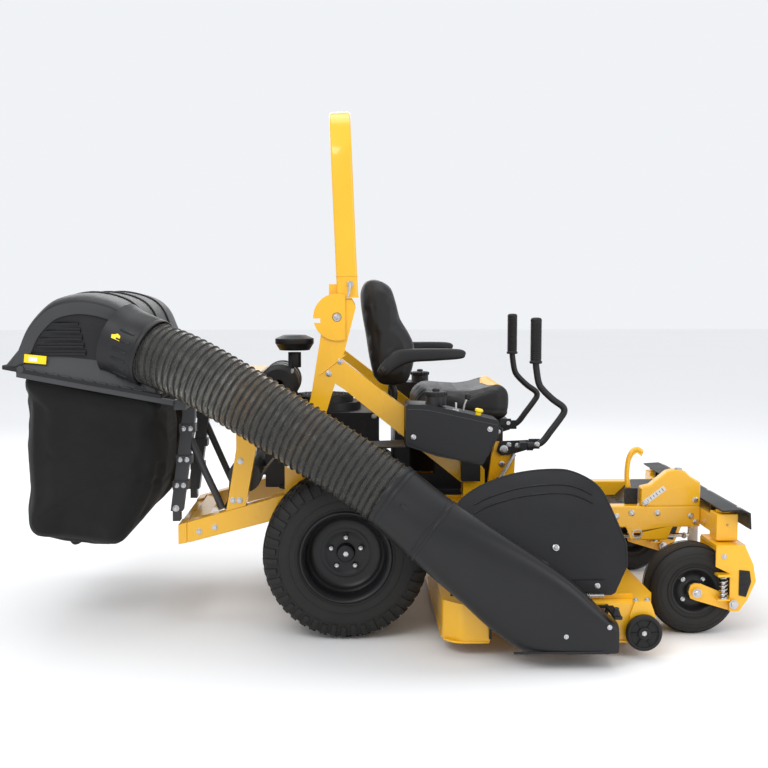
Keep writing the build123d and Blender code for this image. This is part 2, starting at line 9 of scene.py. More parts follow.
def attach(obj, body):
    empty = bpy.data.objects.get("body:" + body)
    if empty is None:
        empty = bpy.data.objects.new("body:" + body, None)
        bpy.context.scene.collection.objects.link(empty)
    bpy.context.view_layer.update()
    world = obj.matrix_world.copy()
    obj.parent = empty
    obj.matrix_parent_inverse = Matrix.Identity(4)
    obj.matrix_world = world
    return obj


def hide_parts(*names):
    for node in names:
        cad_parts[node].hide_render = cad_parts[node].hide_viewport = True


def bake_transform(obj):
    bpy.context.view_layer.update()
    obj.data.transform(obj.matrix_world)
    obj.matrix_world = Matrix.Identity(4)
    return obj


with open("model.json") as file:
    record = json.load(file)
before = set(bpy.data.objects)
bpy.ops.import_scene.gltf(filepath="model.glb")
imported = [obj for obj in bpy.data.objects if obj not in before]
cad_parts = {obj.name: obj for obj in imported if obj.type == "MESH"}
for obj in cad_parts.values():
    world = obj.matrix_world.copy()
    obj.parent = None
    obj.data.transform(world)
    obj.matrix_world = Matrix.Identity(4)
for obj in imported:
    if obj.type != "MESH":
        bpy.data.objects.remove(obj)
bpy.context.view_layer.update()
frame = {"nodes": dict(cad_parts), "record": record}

XO, YO = -135.0, 64.0          # machine coordinates (mm, drive axle at X 0) to the row frame
SIDES = (("right", -1), ("left", 1))
NODES = frame["nodes"]


def V(x, y, z):
    return Vector(((x + XO) / 1000, (y + YO) / 1000, z / 1000))


# ---------------------------------------------------------------- materials
def new_mat(name):
    m = bpy.data.materials.new(name)
    m.use_nodes = True
    nt = m.node_tree
    return m, nt, nt.nodes["Principled BSDF"]


def link(nt, a, ao, b, bi):
    nt.links.new(a.outputs[ao], b.inputs[bi])


def noise(nt, scale, detail, rough=0.55):
    tc = nt.nodes.new("ShaderNodeTexCoord")
    n = nt.nodes.new("ShaderNodeTexNoise")
    n.inputs["Scale"].default_value = scale
    n.inputs["Detail"].default_value = detail
    n.inputs["Roughness"].default_value = rough
    link(nt, tc, "Object", n, "Vector")
    return n


def ramp(nt, src, out, p0, c0, p1, c1):
    r = nt.nodes.new("ShaderNodeValToRGB")
    r.color_ramp.elements[0].position, r.color_ramp.elements[0].color = p0, c0
    r.color_ramp.elements[1].position, r.color_ramp.elements[1].color = p1, c1
    link(nt, src, out, r, "Fac")
    return r


def grey(v, k):
    return (v[0] * k, v[1] * k, v[2] * k, 1)


def plain(name, col, rough=0.4, metal=0.0, grain=600.0, bump=0.05, var=0.12, blotch=6.0, coat=0.0,
          spec=0.5, rvar=0.08, sheen=0.0, dist=0.0005):
    """Base colour with slow tonal drift, fine surface grain in the bump and a little gloss variation."""
    m, nt, b = new_mat(name)
    slow = noise(nt, blotch, 5.0)
    r = ramp(nt, slow, "Fac", 0.3, grey(col, 1 - var), 0.72, grey(col, 1 + var))
    link(nt, r, "Color", b, "Base Color")
    rr = ramp(nt, slow, "Fac", 0.25, grey((1, 1, 1), max(0.02, rough - rvar)), 0.8,
              grey((1, 1, 1), min(1, rough + rvar)))
    link(nt, rr, "Color", b, "Roughness")
    fine = noise(nt, grain, 3.0)
    bp = nt.nodes.new("ShaderNodeBump")
    bp.inputs["Strength"].default_value = bump
    bp.inputs["Distance"].default_value = dist
    link(nt, fine, "Fac", bp, "Height")
    link(nt, bp, "Normal", b, "Normal")
    b.inputs["Metallic"].default_value = metal
    b.inputs["Coat Weight"].default_value = coat
    b.inputs["Coat Roughness"].default_value = 0.12
    b.inputs["Specular IOR Level"].default_value = spec
    if sheen:
        b.inputs["Sheen Weight"].default_value = sheen
        b.inputs["Sheen Roughness"].default_value = 0.5
    return m


def woven(name, col, scale=900.0, bump=0.5, rough=0.8, var=0.2):
    """Woven cloth: two crossed wave sets in the bump over a blotched base colour."""
    m, nt, b = new_mat(name)
    tc = nt.nodes.new("ShaderNodeTexCoord")
    waves = []
    for d in ("X", "Z"):
        w = nt.nodes.new("ShaderNodeTexWave")
        w.wave_type, w.bands_direction = "BANDS", d
        w.inputs["Scale"].default_value = scale
        w.inputs["Distortion"].default_value = 0.6
        link(nt, tc, "Object", w, "Vector")
        waves.append(w)
    mx = nt.nodes.new("ShaderNodeMath")
    mx.operation = "MAXIMUM"
    link(nt, waves[0], "Fac", mx, 0)
    link(nt, waves[1], "Fac", mx, 1)
    bp = nt.nodes.new("ShaderNodeBump")
    bp.inputs["Strength"].default_value = bump
    bp.inputs["Distance"].default_value = 0.0004
    link(nt, mx, "Value", bp, "Height")
    link(nt, bp, "Normal", b, "Normal")
    slow = noise(nt, 9.0, 6.0)
    r = ramp(nt, slow, "Fac", 0.3, grey(col, 1 - var), 0.72, grey(col, 1 + var))
    link(nt, r, "Color", b, "Base Color")
    b.inputs["Roughness"].default_value = rough
    b.inputs["Specular IOR Level"].default_value = 0.25
    b.inputs["Sheen Weight"].default_value = 0.06
    b.inputs["Sheen Roughness"].default_value = 0.45
    return m


YEL = plain("yellow_paint", (0.90, 0.47, 0.008), 0.30, grain=260, bump=0.10, var=0.05, blotch=3.0, coat=0.5,
            dist=0.0003)
BLKP = plain("black_paint", (0.011, 0.011, 0.012), 0.40, spec=0.35, grain=500, bump=0.12, var=0.2)
GREYP = plain("grey_paint", (0.045, 0.046, 0.049), 0.42, spec=0.4, grain=500, bump=0.12, var=0.12)
PLAS = plain("black_plastic", (0.011, 0.011, 0.012), 0.46, spec=0.35, grain=1100, bump=0.35, var=0.14,
             dist=0.0004)
PLASG = plain("grey_plastic", (0.040, 0.041, 0.043), 0.5, spec=0.4, grain=1100, bump=0.35, var=0.1,
              dist=0.0004)
SMOOTH = plain("boot_plastic", (0.010, 0.010, 0.011), 0.38, spec=0.35, grain=240, bump=0.10, var=0.15)
TYRE = plain("tyre_rubber", (0.017, 0.016, 0.015), 0.72, spec=0.35, grain=420, bump=0.4, var=0.25, blotch=14)
RUB = plain("soft_rubber", (0.011, 0.011, 0.011), 0.58, spec=0.35, grain=700, bump=0.3, var=0.2)
STEEL = plain("zinc_steel", (0.56, 0.56, 0.57), 0.3, metal=1.0, grain=300, bump=0.08, var=0.12, blotch=20)
DARKS = plain("dark_steel", (0.10, 0.10, 0.105), 0.4, metal=0.9, grain=300, bump=0.12, var=0.2, blotch=20)
CAST = plain("cast_iron", (0.045, 0.045, 0.047), 0.6, metal=0.3, grain=220, bump=0.7, var=0.25, blotch=12)
VINYL = plain("vinyl", (0.012, 0.012, 0.013), 0.44, spec=0.35, grain=330, bump=0.55, var=0.18, dist=0.0006)
VINY = plain("vinyl_yellow", (0.86, 0.43, 0.01), 0.4, grain=330, bump=0.5, var=0.06, dist=0.0006)
LABY = plain("label_yellow", (0.95, 0.66, 0.0), 0.35, grain=800, bump=0.02, var=0.04)
LABW = plain("label_pale", (0.72, 0.72, 0.70), 0.4, grain=800, bump=0.02, var=0.05)
CLOTH = woven("bag_cloth", (0.010, 0.010, 0.010), 520.0, 0.5, 0.85)
WEB = woven("webbing", (0.018, 0.018, 0.018), 300.0, 0.25, 0.8)
SLOTMAT = {"yellow_paint": YEL, "black_paint": BLKP, "grey_paint": GREYP, "black_plastic": PLAS, "tyre": TYRE,
           "rubber": RUB, "steel": STEEL, "cast": CAST, "vinyl": VINYL, "fabric": CLOTH, "smoke_hose": PLAS}


def smoke_film():
    m, nt, b = new_mat("smoke_film")
    b.inputs["Base Color"].default_value = (0.17, 0.165, 0.15, 1)
    b.inputs["Transmission Weight"].default_value = 0.72
    b.inputs["IOR"].default_value = 1.2
    n = noise(nt, 7.0, 5.0, 0.6)
    r = ramp(nt, n, "Fac", 0.35, (0.13, 0.13, 0.13, 1), 0.7, (0.36, 0.36, 0.36, 1))
    link(nt, r, "Color", b, "Roughness")
    bp = nt.nodes.new("ShaderNodeBump")
    bp.inputs["Strength"].default_value = 0.5
    bp.inputs["Distance"].default_value = 0.002
    n2 = noise(nt, 38.0, 3.0)
    link(nt, n2, "Fac", bp, "Height")
    link(nt, bp, "Normal", b, "Normal")
    return m


FILM = smoke_film()

# ---------------------------------------------------------------- mesh tools

def obj_from(name, verts, faces, mat, body, smooth=True, bevel=0.0, subsurf=0, parts=None, angle=35,
             slot=None):
    me = bpy.data.meshes.new(name)
    me.from_pydata([tuple(v) for v in verts], [], faces)
    me.validate()
    o = bpy.data.objects.new(name, me)
    bpy.context.scene.collection.objects.link(o)
    for mt in (mat if isinstance(mat, (list, tuple)) else [mat]):
        me.materials.append(mt)
    if parts:
        for p, k in zip(me.polygons, parts):
            p.material_index = k
    bm = bmesh.new()
    bm.from_mesh(me)
    bmesh.ops.recalc_face_normals(bm, faces=bm.faces)
    bm.to_mesh(me)
    bm.free()
    if smooth:
        for p in me.polygons:
            p.use_smooth = True
        try:
            me.set_sharp_from_angle(angle=math.radians(angle))
        except Exception:
            pass
    if bevel:
        md = o.modifiers.new("bevel", "BEVEL")
        md.width, md.segments, md.limit_method = bevel / 1000, 2, "ANGLE"
        md.angle_limit = math.radians(32)
    if subsurf:
        md = o.modifiers.new("sub", "SUBSURF")
        md.levels = md.render_levels = subsurf
    if body:
        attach(o, body)
    return o


class Bag:
    """Collects pieces of geometry (in mm, machine coordinates) into one mesh object."""

    def __init__(self):
        self.v, self.f, self.m = [], [], []

    def add(self, verts, faces, mi=0):
        k = len(self.v)
        self.v += [V(*p) for p in verts]
        self.f += [tuple(i + k for i in f) for f in faces]
        self.m += [mi] * len(faces)

    def make(self, name, mat, body, **kw):
        return obj_from(name, self.v, self.f, mat, body, parts=self.m, **kw)


def frame_of(d):
    d = Vector(d).normalized()
    u = Vector((0, 0, 1)) if abs(d.z) < 0.95 else Vector((1, 0, 0))
    a = d.cross(u).normalized()
    return d, a, a.cross(d).normalized()


def prism(bag, centre, d, rings, n=6, mi=0, turn=0.0, cap=True):
    """Rings of (offset along d, radius) swept round an axis: bolts, bosses, knobs, pins."""
    d, a, b = frame_of(d)
    c = Vector(centre)
    vs = []
    for off, r in rings:
        for i in range(n):
            t = turn + 2 * math.pi * i / n
            vs.append(c + d * off + a * (r * math.cos(t)) + b * (r * math.sin(t)))
    fs = []
    for k in range(len(rings) - 1):
        for i in range(n):
            j = (i + 1) % n
            fs.append((k * n + i, k * n + j, (k + 1) * n + j, (k + 1) * n + i))
    if cap:
        fs.append(tuple(range(n))[::-1])
        fs.append(tuple((len(rings) - 1) * n + i for i in range(n)))
    bag.add(vs, fs, mi)


def bolt(bag, p, d, r=9.0, h=7.0, mi=0):
    """Hexagon flange bolt head with washer."""
    prism(bag, p, d, [(0, r * 1.45), (1.6, r * 1.45), (2.2, r * 1.3)], 20, mi)
    prism(bag, p, d, [(2.2, r), (h, r), (h + 1.4, r * 0.86)], 6, mi, 0.4)
    prism(bag, p, d, [(h + 1.4, r * 0.55), (h + 2.6, r * 0.5)], 12, mi)


def tube(bag, pts, r, n=16, mi=0, closed=False, cap=True, per=8):
    """Round tube through points, on a smooth Catmull-Rom line."""
    line = [Vector(p) for p in smooth_line(pts, per, closed)]
    L = len(line)
    vs, fs = [], []
    a = frame_of(line[1] - line[0])[1]
    for i, p in enumerate(line):
        q = (line[(i + 1) % L] - line[i - 1]) if (closed or 0 < i < L - 1) else \
            (line[1] - line[0] if i == 0 else line[-1] - line[-2])
        q.normalize()
        a = (a - q * a.dot(q)).normalized()
        b = q.cross(a)
        for k in range(n):
            t = 2 * math.pi * k / n
            vs.append(p + a * (r * math.cos(t)) + b * (r * math.sin(t)))
    for i in range(L if closed else L - 1):
        for k in range(n):
            k2 = (k + 1) % n
            i2 = (i + 1) % L
            fs.append((i * n + k, i * n + k2, i2 * n + k2, i2 * n + k))
    if cap and not closed:
        fs.append(tuple(range(n))[::-1])
        fs.append(tuple((L - 1) * n + k for k in range(n)))
    bag.add(vs, fs, mi)


# faces of a six-sided piece: four points below, then the four above them
SLAB = [(0, 3, 2, 1), (4, 5, 6, 7), (0, 1, 5, 4), (1, 2, 6, 5), (2, 3, 7, 6), (3, 0, 4, 7)]


def block(bag, x0, x1, y0, y1, z0, z1, mi=0):
    """Box between the given limits; its two Y limits may come in either order."""
    y0, y1 = sorted((y0, y1))
    vs = [(x, y, z) for x in (x0, x1) for y in (y0, y1) for z in (z0, z1)]
    bag.add(vs, [(0, 1, 3, 2), (4, 6, 7, 5), (0, 4, 5, 1), (2, 3, 7, 6), (0, 2, 6, 4), (1, 5, 7, 3)], mi)


def lathe(bag, prof, c, n=96, mi=0, s=1, closed=True):
    """(radius, outward offset) outline turned about a lateral axle through c."""
    vs, fs = [], []
    m = len(prof)
    for i in range(n):
        t = 2 * math.pi * i / n
        for r, a in prof:
            vs.append((c[0] + r * math.cos(t), c[1] + s * a, c[2] + r * math.sin(t)))
    for i in range(n):
        j = (i + 1) % n
        for k in range(m if closed else m - 1):
            k2 = (k + 1) % m
            fs.append((i * m + k, i * m + k2, j * m + k2, j * m + k))
    bag.add(vs, fs, mi)


def smooth_line(pts, per=6, closed=False):
    out = []
    m = len(pts)
    for i in range(m if closed else m - 1):
        p0 = pts[(i - 1) % m] if (closed or i) else pts[0]
        p1, p2 = pts[i], pts[(i + 1) % m]
        p3 = pts[(i + 2) % m] if (closed or i + 2 < m) else pts[-1]
        for k in range(per):
            t = k / per
            out.append(tuple(0.5 * (2 * b + (c - a) * t + (2 * a - 5 * b + 4 * c - d) * t * t
                                    + (3 * b - a - 3 * c + d) * t ** 3)
                             for a, b, c, d in zip(p0, p1, p2, p3)))
    if not closed:
        out.append(tuple(pts[-1]))
    return out


# ---------------------------------------------------------------- carried-over CAD nodes
REC = {s["node"]: s["material_slot"] for s in frame["record"]["subparts"]}


def finish_node(name, bevel):
    o = NODES[name]
    mt = SLOTMAT[REC[name]]
    if not o.data.materials:
        o.data.materials.append(mt)
    for sl in o.material_slots:
        sl.material = mt
    w = o.modifiers.new("weld", "WELD")
    w.merge_threshold = 0.00002
    if bevel:
        b = o.modifiers.new("edge", "BEVEL")
        b.width, b.segments, b.limit_method = bevel / 1000, 2, "ANGLE"
        b.angle_limit = math.radians(38)
        b.use_clamp_overlap = True


# ---------------------------------------------------------------- tyres
def patch(bag, surf, t0, t1, s0, s1, h, c, s, nt, ns, taper=0.12):
    """A raised block on a turned surface: angle t0..t1, profile position s0..s1, height h."""
    def at(t, q, hh):
        k = q * (len(surf) - 1)
        i = min(int(k), len(surf) - 2)
        f = k - i
        r = surf[i][0] * (1 - f) + surf[i + 1][0] * f
        a = surf[i][1] * (1 - f) + surf[i + 1][1] * f
        dr, da = surf[i + 1][0] - surf[i][0], surf[i + 1][1] - surf[i][1]
        ln = math.hypot(dr, da) or 1
        nr, na = da / ln, -dr / ln
        if nr * r + na * a < 0 and abs(nr) > 0.05:
            nr, na = -nr, -na
        r, a = r + nr * hh, a + na * hh
        return (c[0] + r * math.cos(t), c[1] + s * a, c[2] + r * math.sin(t))
    tm, sm = (t0 + t1) / 2, (s0 + s1) / 2
    top, low = [], []
    for i in range(nt + 1):
        for j in range(ns + 1):
            t, q = t0 + (t1 - t0) * i / nt, s0 + (s1 - s0) * j / ns
            low.append(at(t, q, -3))
            top.append(at(tm + (t - tm) * (1 - taper), sm + (q - sm) * (1 - taper), h))
    n = (nt + 1) * (ns + 1)
    fs = []
    for i in range(nt):
        for j in range(ns):
            k = i * (ns + 1) + j
            fs.append((n + k, n + k + 1, n + k + ns + 2, n + k + ns + 1))
    ring = list(range(ns + 1)) + [i * (ns + 1) + ns for i in range(1, nt + 1)] + \
           [nt * (ns + 1) + j for j in range(ns - 1, -1, -1)] + [i * (ns + 1) for i in range(nt - 1, 0, -1)]
    for k in range(len(ring)):
        a, b2 = ring[k], ring[(k + 1) % len(ring)]
        fs.append((a, b2, n + b2, n + a))
    bag.add(low + top, fs)


AXLE_Y, AXLE_Z, LUGS = 455, 305, 46         # drive wheels: track, axle height, tread rows
SWIVEL_X, CASTER_X, CASTER_Y, CASTER_Z = 1407, 1283, 470, 165
BOLT_CIRCLE = 57.15
for side, s in SIDES:
    c = (0, s * AXLE_Y, AXLE_Z)
    bag = Bag()
    w = 122                                 # half the tyre's width
    prof = [(158, -w + 22), (166, -w + 8), (190, -w + 3), (230, -w), (262, -w + 3), (284, -w + 14),
            (294, -w + 34),
            (297, -60), (298, 0), (297, 60), (294, w - 34), (284, w - 14), (262, w - 3), (230, w), (190,
                    w - 3),
            (172, w - 9), (164, w - 18), (156, w - 30), (155, 0)]
    lathe(bag, smooth_line(prof, 3, closed=True), c, 120, 0, s)
    # moulded rings on the sidewall
    for r, a in ((178, w - 5.2), (206, w - 1.2), (244, w - 0.6)):
        lathe(bag, [(r - 2.5, a - 2), (r - 1.5, a + 1.6), (r + 1.5, a + 1.6), (r + 2.5, a - 2)], c, 120, 0, s)
    surf = smooth_line([(244, w), (262, w - 3), (284, w - 14), (294, w - 34), (297, 60), (298, 0), (297, -60),
                        (294, -w + 34), (284, -w + 14), (262, -w + 3), (244, -w)], 4)
    st = 2 * math.pi / LUGS
    for i in range(LUGS):
        t = 2 * math.pi * i / LUGS
        lo = 0.0 if i % 2 else 0.045
        for e in (0, 1):
            tt = t + e * st * 0.5
            q0, q1 = (lo, 0.27) if not e else (1 - 0.27, 1 - lo)
            patch(bag, surf, tt, tt + st * 0.56, q0, q1, 6.2, c, s, 1, 6)
        for j, (q0, q1) in enumerate(((0.295, 0.39), (0.405, 0.495), (0.505, 0.595), (0.61, 0.705))):
            tt = t + (j % 2) * st * 0.5 + st * 0.1
            patch(bag, surf, tt, tt + st * 0.62, q0, q1, 6.2, c, s, 1, 2)
    o = bag.make("drive_tyre_" + side, TYRE, "drive_wheel_" + side, slot="tyre", angle=50)
    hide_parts("rear_tyre_" + side)

    # steel wheel: barrel, dished disc with hand holes, lug nuts, hub cap
    bag = Bag()
    prof = [(146, -w + 14), (159, -w + 8), (160, -w + 12), (153, -w + 26), (152, 0), (153, w - 28),
            (164, w - 16),
            (167.5, w - 12), (168, w - 8), (165, w - 6), (160, w - 8), (150, w - 20), (146, w - 34), (143,
                    60),
            (134, 52), (128, 42), (116, 34), (96, 30), (84, 33), (70, 27), (50, 24), (30, 24), (30, 18), (50,
                    18),
            (70, 21), (84, 27), (96, 24), (118, 28), (132, 40), (140, 20)]
    lathe(bag, smooth_line(prof, 2, closed=True), c, 96, 0, s)
    for i in range(5):
        t = math.radians(90 + 72 * i)
        p = (BOLT_CIRCLE * math.cos(t), c[1] + s * 23, AXLE_Z + BOLT_CIRCLE * math.sin(t))
        prism(bag, p, (0, s, 0), [(0, 12), (5, 10.5), (14, 10.5), (18, 8), (19, 4)], 6, 1, t)
        prism(bag, p, (0, s, 0), [(14, 5.5), (27, 5.5), (28, 4.5)], 14, 1)
        # vent holes: a rolled edge round a dark rubber disc; the hole is not cut, and the disc is painted shade
        # standing in for the dark recess
        t2 = t + math.radians(36)
        p = (102 * math.cos(t2), c[1] + s * 28.5, AXLE_Z + 102 * math.sin(t2))
        prism(bag, p, (0, s, 0), [(0, 15), (2.4, 14.2), (2.4, 11), (-2, 10)], 24, 2, cap=False)
        # painted shade: a dark disc in place of the shaded inside of the hole
        prism(bag, (p[0], c[1] + s * 29.2, p[2]), (0, s, 0), [(0, 11.5), (0.4, 11)], 24, 3)
    prism(bag, (0, c[1] + s * 20, AXLE_Z), (0, s, 0), [(0, 36), (8, 34), (24, 33), (30, 30), (33, 22),
                                                       (34, 8)], 48, 2)
    prism(bag, (0, c[1] + s * 50, AXLE_Z), (0, s, 0), [(0, 11), (6, 10), (7, 7)], 6, 1)
    prism(bag, (0, c[1] - s * 96, AXLE_Z), (0, s, 0), [(0, 30), (118, 30)], 32, 2)
    # valve stem
    prism(bag, (118, c[1] + s * 32, AXLE_Z + 62), (0.1, s, 0.05), [(0, 5), (22, 4.4), (23, 3.4), (34, 3.4),
            (35, 2)], 14, 4)
    o = bag.make("drive_rim_" + side, [BLKP, STEEL, BLKP, RUB, RUB], "drive_wheel_" + side,
                 slot="black_paint", angle=40)
    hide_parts("rear_rim_" + side)

    # caster tyre and rim
    c = (CASTER_X, s * CASTER_Y, CASTER_Z)
    bag = Bag()
    w = 75
    prof = [(80, -w + 18), (90, -w + 8), (108, -w + 1), (132, -w), (150, -w + 9), (160, -w + 28),
            (164, -w + 52),
            (165, 0), (164, w - 52), (160, w - 28), (150, w - 9), (132, w), (108, w - 1), (90, w - 8), (80,
                    w - 18), (79, 0)]
    lathe(bag, smooth_line(prof, 4, closed=True), c, 96, 0, s)
    for e in (-1, 1):
        for r, a in ((100, w - 0.6), (126, w + 0.9), (141, w - 2)):
            lathe(bag, [(r - 2, e * (a - 2)), (r - 1, e * (a + 0.8)), (r + 1, e * (a + 0.8)),
                        (r + 2, e * (a - 2))], c, 96, 0, s)
        for g in (0, 14, 28, 42):
            a = e * g
            if e > 0 or g:
                lathe(bag, [(163.5, a - 3.5), (165, a - 2.5), (165, a + 2.5), (163.5, a + 3.5)], c, 96, 0, s)
    o = bag.make("caster_tyre_skin_" + side, TYRE, "caster_wheel_" + side, slot="tyre", angle=50)
    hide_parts("caster_tyre_" + side)
    bag = Bag()
    for e in (-1, 1):
        prof = [(13, w - 10), (26, w - 10), (30, w - 14), (33, w - 26), (44, w - 32), (60, w - 30),
                (70, w - 20), (78, w - 10),
                (85, w - 7), (87.5, w - 9), (86, w - 14), (79, w - 22), (78, 0), (74, 0), (74, w - 26), (58,
                        w - 36),
                (40, w - 38), (28, w - 32), (13, w - 30)]
        lathe(bag, [(r, e * a) for r, a in smooth_line(prof, 2)], c, 72, 0, s)
        prism(bag, (c[0], c[1] + e * (w - 12), c[2]), (0, e, 0), [(0, 22), (6, 20), (7, 12)], 30, 1)
        for i in range(4):
            t = math.pi / 4 + math.pi / 2 * i
            bolt(bag, (c[0] + 52 * math.cos(t), c[1] + e * (w - 32), c[2] + 52 * math.sin(t)), (0, e, 0), 6,
                 5, 1)
    o = bag.make("caster_rim_skin_" + side, [BLKP, STEEL], "caster_wheel_" + side, slot="black_paint",
                 angle=40)
    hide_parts("caster_rim_" + side)

    # coil springs between the swing arm and the fork, on their guide rods
    for e, tag in ((-1, "a"), (1, "b")):
        y = s * CASTER_Y + e * 104.5
        bag = Bag()
        pts = []
        turns, z0, z1 = 6.5, 150.5, 225.5
        for k in range(int(turns * 12) + 1):
            f = k / (turns * 12)
            ff = min(1, max(0, (f - 0.1) / 0.8))
            t = 2 * math.pi * f * turns
            pts.append((1376 + 13.2 * math.cos(t), y + 13.2 * math.sin(t),
                        z0 + (z1 - z0) * ff + (f - 0.5) * 3))
        tube(bag, pts, 2.6, 10, 0, per=2)
        o = bag.make("coil_" + side + "_" + tag, STEEL, None, slot="steel")
        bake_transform(o)
        if e < 0:
            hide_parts("caster_spring_" + side)


# ---------------------------------------------------------------- hose: helical wire under a smoky film
HOSE = [(149.0, -763.7, 572.8), (-155, -680, 766), (-516, -560, 971), (-710, -479.2, 1046.8)]


def hermite(pts, m0, m1, per=40):
    P = [Vector(p) for p in pts]
    T = [Vector(m0)] + [(P[i + 1] - P[i - 1]) * 0.5 for i in range(1, len(P) - 1)] + [Vector(m1)]
    out = []
    for i in range(len(P) - 1):
        for k in range(per):
            t = k / per
            h = (2 * t ** 3 - 3 * t ** 2 + 1, t ** 3 - 2 * t ** 2 + t, -2 * t ** 3 + 3 * t ** 2,
                 t ** 3 - t ** 2)
            out.append(P[i] * h[0] + T[i] * h[1] + P[i + 1] * h[2] + T[i + 1] * h[3])
    out.append(P[-1])
    return out


def resample(line, n):
    d = [0]
    for a, b in zip(line, line[1:]):
        d.append(d[-1] + (b - a).length)
    out, j = [], 0
    for i in range(n + 1):
        q = d[-1] * i / n
        while j < len(d) - 2 and d[j + 1] < q:
            j += 1
        f = (q - d[j]) / max(1e-9, d[j + 1] - d[j])
        out.append(line[j].lerp(line[j + 1], f))
    return out, d[-1]


L1 = (Vector(HOSE[1]) - Vector(HOSE[0])).length
L2 = (Vector(HOSE[3]) - Vector(HOSE[2])).length
HOSE_N, RIB_PITCH = 480, 25.0
LINE, HLEN = resample(hermite(HOSE, Vector((-0.79, 0.25, 0.56)) * L1, Vector((-0.876, 0.364, 0.341)) * L2),
                      HOSE_N)


def hose_part(name, i0, i1):
    """Film tube with a helical rib from point i0 to i1 of the hose line."""
    n = 56
    a = Vector((0, 1, 0))
    vs, fs, ms = [], [], []
    frames = []
    for i in range(len(LINE)):
        q = (LINE[min(i + 1, HOSE_N)] - LINE[max(i - 1, 0)]).normalized()
        a = (a - q * a.dot(q)).normalized()
        frames.append((a.copy(), q.cross(a)))
    step = HLEN / HOSE_N
    for i in range(i0, i1 + 1):
        a, b = frames[i]
        for k in range(n):
            t = 2 * math.pi * k / n
            ph = (i * step / RIB_PITCH - k / n) % 1.0
            rib = max(0.0, math.cos(2 * math.pi * ph)) ** 2
            r = 111.6 + 6.2 * rib + 0.6 * math.sin(5 * t + i * 0.21) * (1 - rib)
            vs.append(LINE[i] + a * (r * math.cos(t)) + b * (r * math.sin(t)))
    for i in range(i1 - i0):
        for k in range(n):
            k2 = (k + 1) % n
            fs.append((i * n + k, i * n + k2, (i + 1) * n + k2, (i + 1) * n + k))
            ph = ((i0 + i + 0.5) * step / RIB_PITCH - (k + 0.5) / n) % 1.0
            ms.append(1 if (ph < 0.15 or ph > 0.85) else 0)
    o = obj_from(name, [V(*v) for v in vs], fs, [FILM, SMOOTH], None, parts=ms, angle=70, slot="smoke_hose")
    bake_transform(o)
    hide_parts("hose")


MID = 200
hose_part("hose_front", 0, MID)
hose_part("hose_back", MID, HOSE_N)


# ---------------------------------------------------------------- discharge boot
def ring_loft(rings, per=6):
    """rings: lists of equal length of points; Catmull-Rom between them."""
    n = len(rings[0])
    cols = [smooth_line([rings[k][i] for k in range(len(rings))], per) for i in range(n)]
    return [[cols[i][k] for i in range(n)] for k in range(len(cols[0]))]


def ring_mesh(bag, rings, mi=0, cap0=False, cap1=False, closed=True):
    n = len(rings[0])
    vs = [p for r in rings for p in r]
    fs = []
    for i in range(len(rings) - 1):
        for k in range(n if closed else n - 1):
            k2 = (k + 1) % n
            fs.append((i * n + k, i * n + k2, (i + 1) * n + k2, (i + 1) * n + k))
    if cap0:
        fs.append(tuple(range(n))[::-1])
    if cap1:
        fs.append(tuple((len(rings) - 1) * n + k for k in range(n)))
    bag.add(vs, fs, mi)


def super_ring(c, d, a, b, p, n=48):
    """Superellipse of half widths a, b and power p, square to d."""
    d = Vector(d).normalized()
    side = Vector((0, 1, 0))
    side = (side - d * side.dot(d)).normalized()
    hi = d.cross(side)
    if hi.z < 0:
        hi = -hi
    out = []
    for i in range(n):
        t = 2 * math.pi * i / n
        ca, sa = math.cos(t), math.sin(t)
        q = Vector(c) + side * (a * math.copysign(abs(ca) ** (2 / p),
                                                  ca)) + hi * (b * math.copysign(abs(sa) ** (2 / p), sa))
        out.append(tuple(q))
    return out


def boot_rings(k):
    """Outer skin at k = 0, inner skin at k = wall."""
    r = [super_ring((150, -764, 572), (-0.79, 0.25, 0.56), 117.5 - k, 117.5 - k, 2.0),
         super_ring((222, -787, 516), (-0.79, 0.26, 0.57), 117 - k, 118 - k, 2.0),
         super_ring((298, -812, 455), (-0.79, 0.2, 0.58), 111 - k, 121 - k, 2.1),
         super_ring((385, -836, 392), (-0.8, 0.12, 0.58), 93 - k, 128 - k, 2.4),
         super_ring((480, -849, 322), (-0.8, 0.05, 0.58), 80 - k, 136 - k, 3.0),
         super_ring((580, -851, 245), (-0.82, 0.01, 0.57), 77 - k, 146 - k, 3.8),
         super_ring((690, -851, 170), (-0.86, 0.0, 0.5), 77 - k, 142 - k, 4.5),
         super_ring((790, -851, 122), (-0.93, 0.0, 0.36), 77 - k, 112 - k, 5.0),
         super_ring((880, -851, 100), (-0.99, 0.0, 0.1), 76 - k, 72 - k, 5.0),
         super_ring((914, -851, 98), (-1, 0.0, 0.0), 70 - k, 58 - k, 4.0)]
    rings = ring_loft(r, 5)
    return [[(x, max(y, -929 + k), max(z, 59 + k)) for x, y, z in ring] for ring in rings]


bag = Bag()
outer = boot_rings(0)
ring_mesh(bag, outer, 0, cap1=True)
inner = boot_rings(5)
ring_mesh(bag, inner[:26], 1)
ring_mesh(bag, [outer[0], inner[0]], 0)
boot = bag.make("boot_shell", [SMOOTH, PLAS], "deck", slot="black_plastic", angle=48)
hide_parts("boot")

bag = Bag()


def collar(bag, c, d, a, b, p, lift, wide, mi=0):
    """A raised band round the duct."""
    d = Vector(d).normalized()
    rs = []
    for off, h in ((-wide / 2, -1), (-wide / 2, lift * 0.8), (-wide / 2 + 2, lift), (wide / 2 - 2, lift),
                   (wide / 2, lift * 0.8), (wide / 2, -1)):
        rs.append(super_ring(tuple(Vector(c) + d * off), d, a + h, b + h, p))
    ring_mesh(bag, rs, mi)


